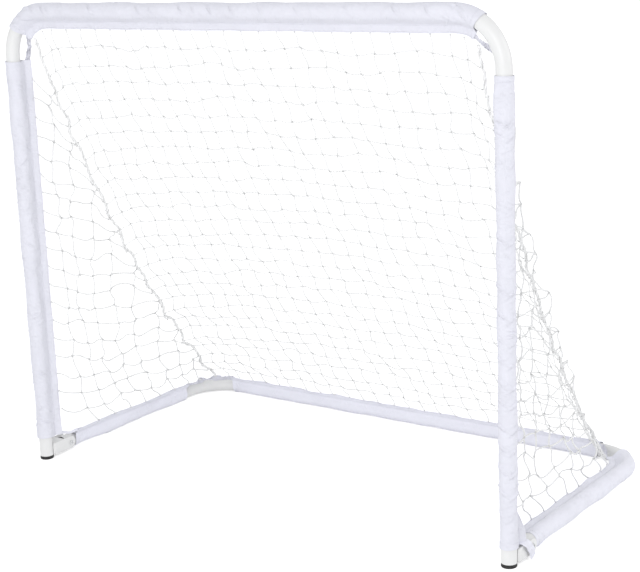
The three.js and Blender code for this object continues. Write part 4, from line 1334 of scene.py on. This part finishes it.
class GOAL_OT_sleeves(bpy.types.Operator):
    """Woven sleeves on posts, crossbar and base, with their sewn flaps"""

    bl_idname = "mesh.goal_sleeves"
    bl_label = "Sleeves"

    def execute(self, context):
        sleeves = (
            Sleeve("left_post_sleeve", FRONT, LEFT_HEM, LEFT_POST_TOP, 110, "left_post_tube_steel",
                   CREASED, 1.0, (0.038, HEM), (0.0014, 0.0006), self.left_post_creases()),
            Sleeve("right_post_sleeve", FRONT, RIGHT_POST_TOP, FRONT.length - RIGHT_HEM, 130,
                   "right_post_tube_steel", CREASED, 1.15, (HEM, 0.014), (0.0006, 0.0006),
                   self.right_post_creases()),
            Sleeve("crossbar_sleeve", FRONT, CROSSBAR_FROM, CROSSBAR_TO, 150, "crossbar_tube",
                   SMOOTH, 0.35, (HEM, HEM), (0.0008, 0.0), self.crossbar_creases()),
            # The three base sleeves take cloth that is made lighter as painted light
            Sleeve("left_base_sleeve", BASE, LEFT_BASE_FROM, LEFT_BASE_TO, 170, "left_base_tube_steel",
                   PAINTED_LIGHT_SLEEVE, 0.9, (HEM, HEM), (0.0006, 0.0012), ()),
            Sleeve("rear_bar_sleeve", BASE, REAR_FROM, REAR_TO, 190, "rear_bar_tube",
                   PAINTED_LIGHT_SLEEVE, 0.4, (HEM, HEM), (0.0012, 0.0012), ()),
            Sleeve("right_base_sleeve", BASE, RIGHT_BASE_FROM, RIGHT_MOUTH, 210, "right_base_tube_steel",
                   PAINTED_LIGHT_CREASED_SLEEVE, 0.6, (HEM, HEM), (0.0022, -0.0010), self.right_base_creases()),
        )
        for part in sleeves:
            piece = sleeve_cloth(part)
            seat(piece, cloth(*part.look), "fabric", part.line.body, part.node)
            sewing = sleeve_stitches(part)
            seat(sewing, twine(context.scene.goal_fabric, *THREAD), "fabric", part.line.body)
        return {"FINISHED"}

    def left_post_creases(self):
        """Short dashes round the outer side, and a few long slanting creases."""
        rng = np.random.default_rng(401)
        creases = []
        for along in np.arange(0.03, 0.86, 0.013):
            place = (rng.uniform(-0.014, 0.003), along + rng.normal(0, 0.003))
            angle, reach = rng.normal(0, 0.25), rng.uniform(0.004, 0.008)
            creases.append((place, angle, reach, rng.uniform(0.0008, 0.0020), rng.uniform(0.0014, 0.0019)))
        for place, angle, reach in (
            ((-0.024, 0.045), 0.5, 0.014), ((-0.018, 0.075), -0.6, 0.012), ((-0.030, 0.16), 0.7, 0.013),
            ((-0.026, 0.30), -0.5, 0.012), ((-0.022, 0.47), 0.6, 0.012), ((-0.026, 0.66), -0.7, 0.012),
        ):
            creases.append((place, angle, reach, 0.0026, 0.0018))
        return creases

    def right_post_creases(self):
        """A long upright ridge, a pocket near the top and creases that run in from both edges."""
        upright = math.pi / 2
        creases = [
            ((0.0005, 0.22), upright, 0.16, 0.0014, 0.0018), ((0.005, 0.055), upright, 0.036, 0.0026, 0.0070),
            ((-0.020, 0.052), upright, 0.050, 0.0030, 0.0090),
            ((0.024, 0.050), upright, 0.050, 0.0020, 0.0090),
            ((-0.009, 0.082), 0.55, 0.009, 0.0034, 0.0017), ((0.004, 0.086), -0.75, 0.011, 0.0030, 0.0017),
        ]
        for along, reach, height in (
            (0.105, 0.013, 0.0031), (0.157, 0.011, 0.0022), (0.232, 0.010, 0.0017), (0.299, 0.015, 0.0037),
            (0.346, 0.010, 0.0020), (0.393, 0.015, 0.0034), (0.442, 0.014, 0.0037), (0.49, 0.012, 0.0032),
            (0.53, 0.012, 0.0036), (0.575, 0.015, 0.0038), (0.61, 0.012, 0.0034), (0.66, 0.014, 0.0040),
            (0.70, 0.011, 0.0034), (0.745, 0.014, 0.0038), (0.79, 0.012, 0.0036),
        ):
            for hand in (-1, 1):
                creases.append(((hand * 0.012, along + hand * 0.004), -hand * 0.6, reach, height, 0.0019))
        return creases

    def crossbar_creases(self):
        """Short creases that slant down to the right across the bar, and bunched cloth at both ends."""
        creases = []
        for along, reach, height in (
            (0.079, 0.008, 0.0024), (0.108, 0.011, 0.0031), (0.122, 0.008, 0.0022), (0.250, 0.014, 0.0036),
            (0.383, 0.013, 0.0032), (0.418, 0.011, 0.0027), (0.499, 0.012, 0.0029), (0.533, 0.009, 0.0024),
            (0.575, 0.015, 0.0031), (0.630, 0.012, 0.0027), (0.700, 0.009, 0.0020), (0.787, 0.010, 0.0022),
            (0.905, 0.010, 0.0020), (1.010, 0.011, 0.0024), (1.080, 0.012, 0.0027),
        ):
            creases.append(((-0.019, along), -0.75, reach, height, 0.0016))
        for place in ((-0.010, 1.140), (-0.024, 1.156), (-0.035, 1.128), (-0.016, 0.030), (-0.030, 0.045),
                      (-0.006, 0.058), (-0.024, 0.020)):
            creases.append((place, -1.1, 0.018, 0.0030, 0.0020))
        return creases

    def right_base_creases(self):
        """A lacing ridge along the top, and folds at the open mouth."""
        length = RIGHT_MOUTH - RIGHT_BASE_FROM
        creases = [((0.0245, along), math.pi / 2, 0.020, 0.0020, 0.0017)
                   for along in np.arange(0.07, length - 0.05, 0.030)]
        creases.append(((0.010, length - 0.022), 0.7, 0.016, 0.0030, 0.0022))
        creases.append(((-0.004, length - 0.030), -0.6, 0.014, 0.0026, 0.0020))
        return creases


class GOAL_OT_corner_tapes(bpy.types.Operator):
    """Gathered binding tape that carries the net round the bare bends"""

    bl_idname = "mesh.goal_corner_tapes"
    bl_label = "Corner tapes"

    def execute(self, context):
        share = np.linspace(0, 1, 60)
        arch = np.sin(math.pi * share)
        for corner, line, begin, finish, seed in (
            ("top_left", FRONT, LEFT_POST_TOP, CROSSBAR_FROM, 31),
            ("top_right", FRONT, CROSSBAR_TO, RIGHT_POST_TOP, 33),
            ("rear_left", BASE, LEFT_BASE_TO, REAR_FROM, 35),
            ("rear_right", BASE, REAR_TO, RIGHT_BASE_FROM, 37),
        ):
            node = corner + "_corner_tape"
            d = np.linspace(begin - TAPE_TUCK, finish + TAPE_TUCK, len(share))
            reach = FLAP_REACH - TAPE_BELOW_EDGE + TAPE_ARCH * arch
            path = line.beside(d, reach, 0.0012 * ripple(seed, d, 0.02, 0.06))
            widths = (0.009 if line is FRONT else 0.017) + 0.005 * np.abs(2 * share - 1) ** 3
            _, out, side = line.flap_axes(d)
            spin = (TAPE_SPIN * arch * ripple(seed + 1, d, 0.05, 0.12))[:, None]
            facing = side * np.cos(spin) + out * np.sin(spin)
            piece, length = ribbon(node + "_ribbon", path, widths, facing, 0.0013, 0.0006, seed, 0.0012)
            seat(piece, webbing(*BINDING), "fabric", line.body, node)
        return {"FINISHED"}


class GOAL_OT_ties(bpy.types.Operator):
    """Tapes at the lower corners"""

    bl_idname = "mesh.goal_ties"
    bl_label = "Lower ties"

    def execute(self, context):
        self.right_tie()
        self.left_tie()
        return {"FINISHED"}

    def curve(self, points):
        """A smooth curve through points, and the share of the way at each of its own points."""
        points = np.asarray(points, float)
        padded = np.concatenate((2 * points[:1] - points[1:2], points, 2 * points[-1:] - points[-2:-1]))
        t = np.linspace(0, len(points) - 1 - 1e-9, 60)
        i = t.astype(int)
        u = (t - i)[:, None]
        a, b, c, d = (padded[i + k] for k in range(4))
        path = 0.5 * (2 * b + (c - a) * u + (2 * a - 5 * b + 4 * c - d) * u ** 2
                      + (3 * b - a - 3 * c + d) * u ** 3)
        return path, np.linspace(0, 1, len(path))

    def right_tie(self):
        """A loose tape that lies over the hinge and hangs down outside it."""
        low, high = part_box("right_lower_tie")
        beside = high.x - 0.0009
        path, share = self.curve([
            (low.x, -0.2868, 0.0490), (low.x + 0.010, -0.2868, 0.0444), (POST_X, -0.2866, 0.0402),
            (POST_X + 0.0165, -0.2850, 0.0404), (beside - 0.0008, -0.2775, 0.0330),
            (beside, -0.2680, 0.0200), (beside - 0.0005, -0.2640, 0.0105), (beside + 0.0008, -0.2620, 0.0045),
        ])
        facing = np.cross(np.gradient(path, axis=0), BACKWARDS)
        widths = 0.023 - 0.004 * smoothstep(share, 0.35, 0.75)
        piece, length = ribbon("right_lower_tie_tape", path, widths, facing, 0.0011, 0.0005, 71)
        seat(piece, webbing(*TIE), "webbing", "front_frame", "right_lower_tie")

    def left_tie(self):
        """A short tape from the post's flap to the base sleeve."""
        flap = FRONT.beside([LEFT_HEM], FLAP_REACH)[0]
        front = BASE.beside([LEFT_BASE_FROM], FLAP_REACH - 0.005)[0]
        path, share = self.curve([
            flap + (0, -0.002, 0.0035), flap + (0.0008, 0.008, 0.001), (flap + front) / 2 + (0, 0, -0.0015),
            front + (-0.0008, -0.006, 0.0015), front + (0, 0.003, 0),
        ])
        ahead = np.gradient(path, axis=0)
        facing = np.cross(ahead, np.cross(ahead, np.array((0.9, 0.0, 0.45))))
        widths = 0.009 - 0.003 * np.sin(math.pi * share)
        piece, length = ribbon("left_lower_tie_tape", path, widths, facing, 0.0012, 0.0005, 73)
        seat(piece, webbing(*TIE), "webbing", None, "left_lower_tie")
        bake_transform(piece)


class GOAL_OT_border_cords(bpy.types.Operator):
    """Thick cords of bundled twine where the back net meets the side nets"""

    bl_idname = "mesh.goal_border_cords"
    bl_label = "Border cords"

    def execute(self, context):
        settings = context.scene.goal_net
        ply = settings.cord_ply
        t = np.linspace(0, 1, CORD_POINTS)
        marks = np.linspace(0.012, 0.988, LACE_LOOPS)
        marked = (marks * (CORD_POINTS - 1)).astype(int)
        for hand, side in SIDES:
            name = hand + "_border_cord_plies"
            middle_line = border_curve(side, t)
            ahead = unit(np.gradient(middle_line, axis=0))
            normal = unit(np.cross(ahead, BACKWARDS))
            other = np.cross(ahead, normal)
            along = t * travel(middle_line)[-1]
            paths = []
            for number in range(3):
                turn = 2 * math.pi * (number / 3 + along / CORD_LAY)
                turn = (turn + 0.5 * ripple(80 + number + 5 * side, along, 0.04, 0.15))[:, None]
                radius = ply * (0.57 + 0.08 * ripple(90 + number, along, 0.02, 0.08))[:, None]
                paths.append(middle_line + (normal * np.cos(turn) + other * np.sin(turn)) * radius)
            plies = tube_mesh(name, np.array(paths), ply / 2, 7)
            axes = np.stack((normal[marked], other[marked], ahead[marked]), 1)
            loop = loop_pattern(ply * 1.25, LACE_TWINE)
            loops = scatter("lacing", loop, border_curve(side, marks), axes)
            piece = joined(name, [plies, loops])
            seat_on_both(piece, twine(settings, *CORD_TWINE), "cord", hand + "_border_cord")
        return {"FINISHED"}


class GOAL_OT_back_net(bpy.types.Operator):
    """Back net, sewn to the crossbar, the rear bar and the border cords"""

    bl_idname = "mesh.goal_back_net"
    bl_label = "Back net"

    def execute(self, context):
        settings = context.scene.goal_net
        piece = net_piece("back_net_twine", back_net_knots(), 0.06, 0.0028, 301, settings.twine)
        seat_on_both(piece, twine(settings, *NET_TWINE), "twine", "back_net")
        return {"FINISHED"}


class GOAL_OT_side_nets(bpy.types.Operator):
    """Three-sided nets between post, base and border cord"""

    bl_idname = "mesh.goal_side_nets"
    bl_label = "Side nets"

    def execute(self, context):
        settings = context.scene.goal_net
        for hand, side in SIDES:
            piece = net_piece(hand + "_side_net_twine", side_net_knots(side), 0.16, 0.0045, 312 + side,
                              SIDE_TWINE_SHARE * settings.twine)
            seat_on_both(piece, twine(settings, *NET_TWINE), "twine", hand + "_side_net")
        return {"FINISHED"}


class GOAL_PT_panel(bpy.types.Panel):
    """All settings and steps of the goal"""

    bl_idname = "GOAL_PT_panel"
    bl_label = "Lacrosse goal"
    bl_space_type = "VIEW_3D"
    bl_region_type = "UI"
    bl_category = "Goal"

    def draw(self, context):
        layout = self.layout
        scene = context.scene
        for settings in (scene.goal_stage, scene.goal_tube, scene.goal_fabric, scene.goal_net):
            box = layout.box()
            for name in settings.__annotations__:
                box.prop(settings, name)
        for step in STEPS:
            layout.operator(step.bl_idname)


STEPS = (
    GOAL_OT_studio,
    GOAL_OT_tubes,
    GOAL_OT_hinges,
    GOAL_OT_feet,
    GOAL_OT_sleeves,
    GOAL_OT_corner_tapes,
    GOAL_OT_ties,
    GOAL_OT_border_cords,
    GOAL_OT_back_net,
    GOAL_OT_side_nets,
)
SETTINGS = {
    "goal_stage": GoalStageSettings,
    "goal_tube": GoalTubeSettings,
    "goal_fabric": GoalFabricSettings,
    "goal_net": GoalNetSettings,
}


def register():
    for kind in (*SETTINGS.values(), *STEPS, GOAL_PT_panel):
        bpy.utils.register_class(kind)
    for name, kind in SETTINGS.items():
        setattr(bpy.types.Scene, name, PointerProperty(type=kind))


def unregister():
    for name in SETTINGS:
        delattr(bpy.types.Scene, name)
    for kind in reversed((*SETTINGS.values(), *STEPS, GOAL_PT_panel)):
        bpy.utils.unregister_class(kind)


def main():
    register()
    for step in STEPS:
        group, name = step.bl_idname.split(".")
        getattr(getattr(bpy.ops, group), name)()


if __name__ == "__main__":
    main()
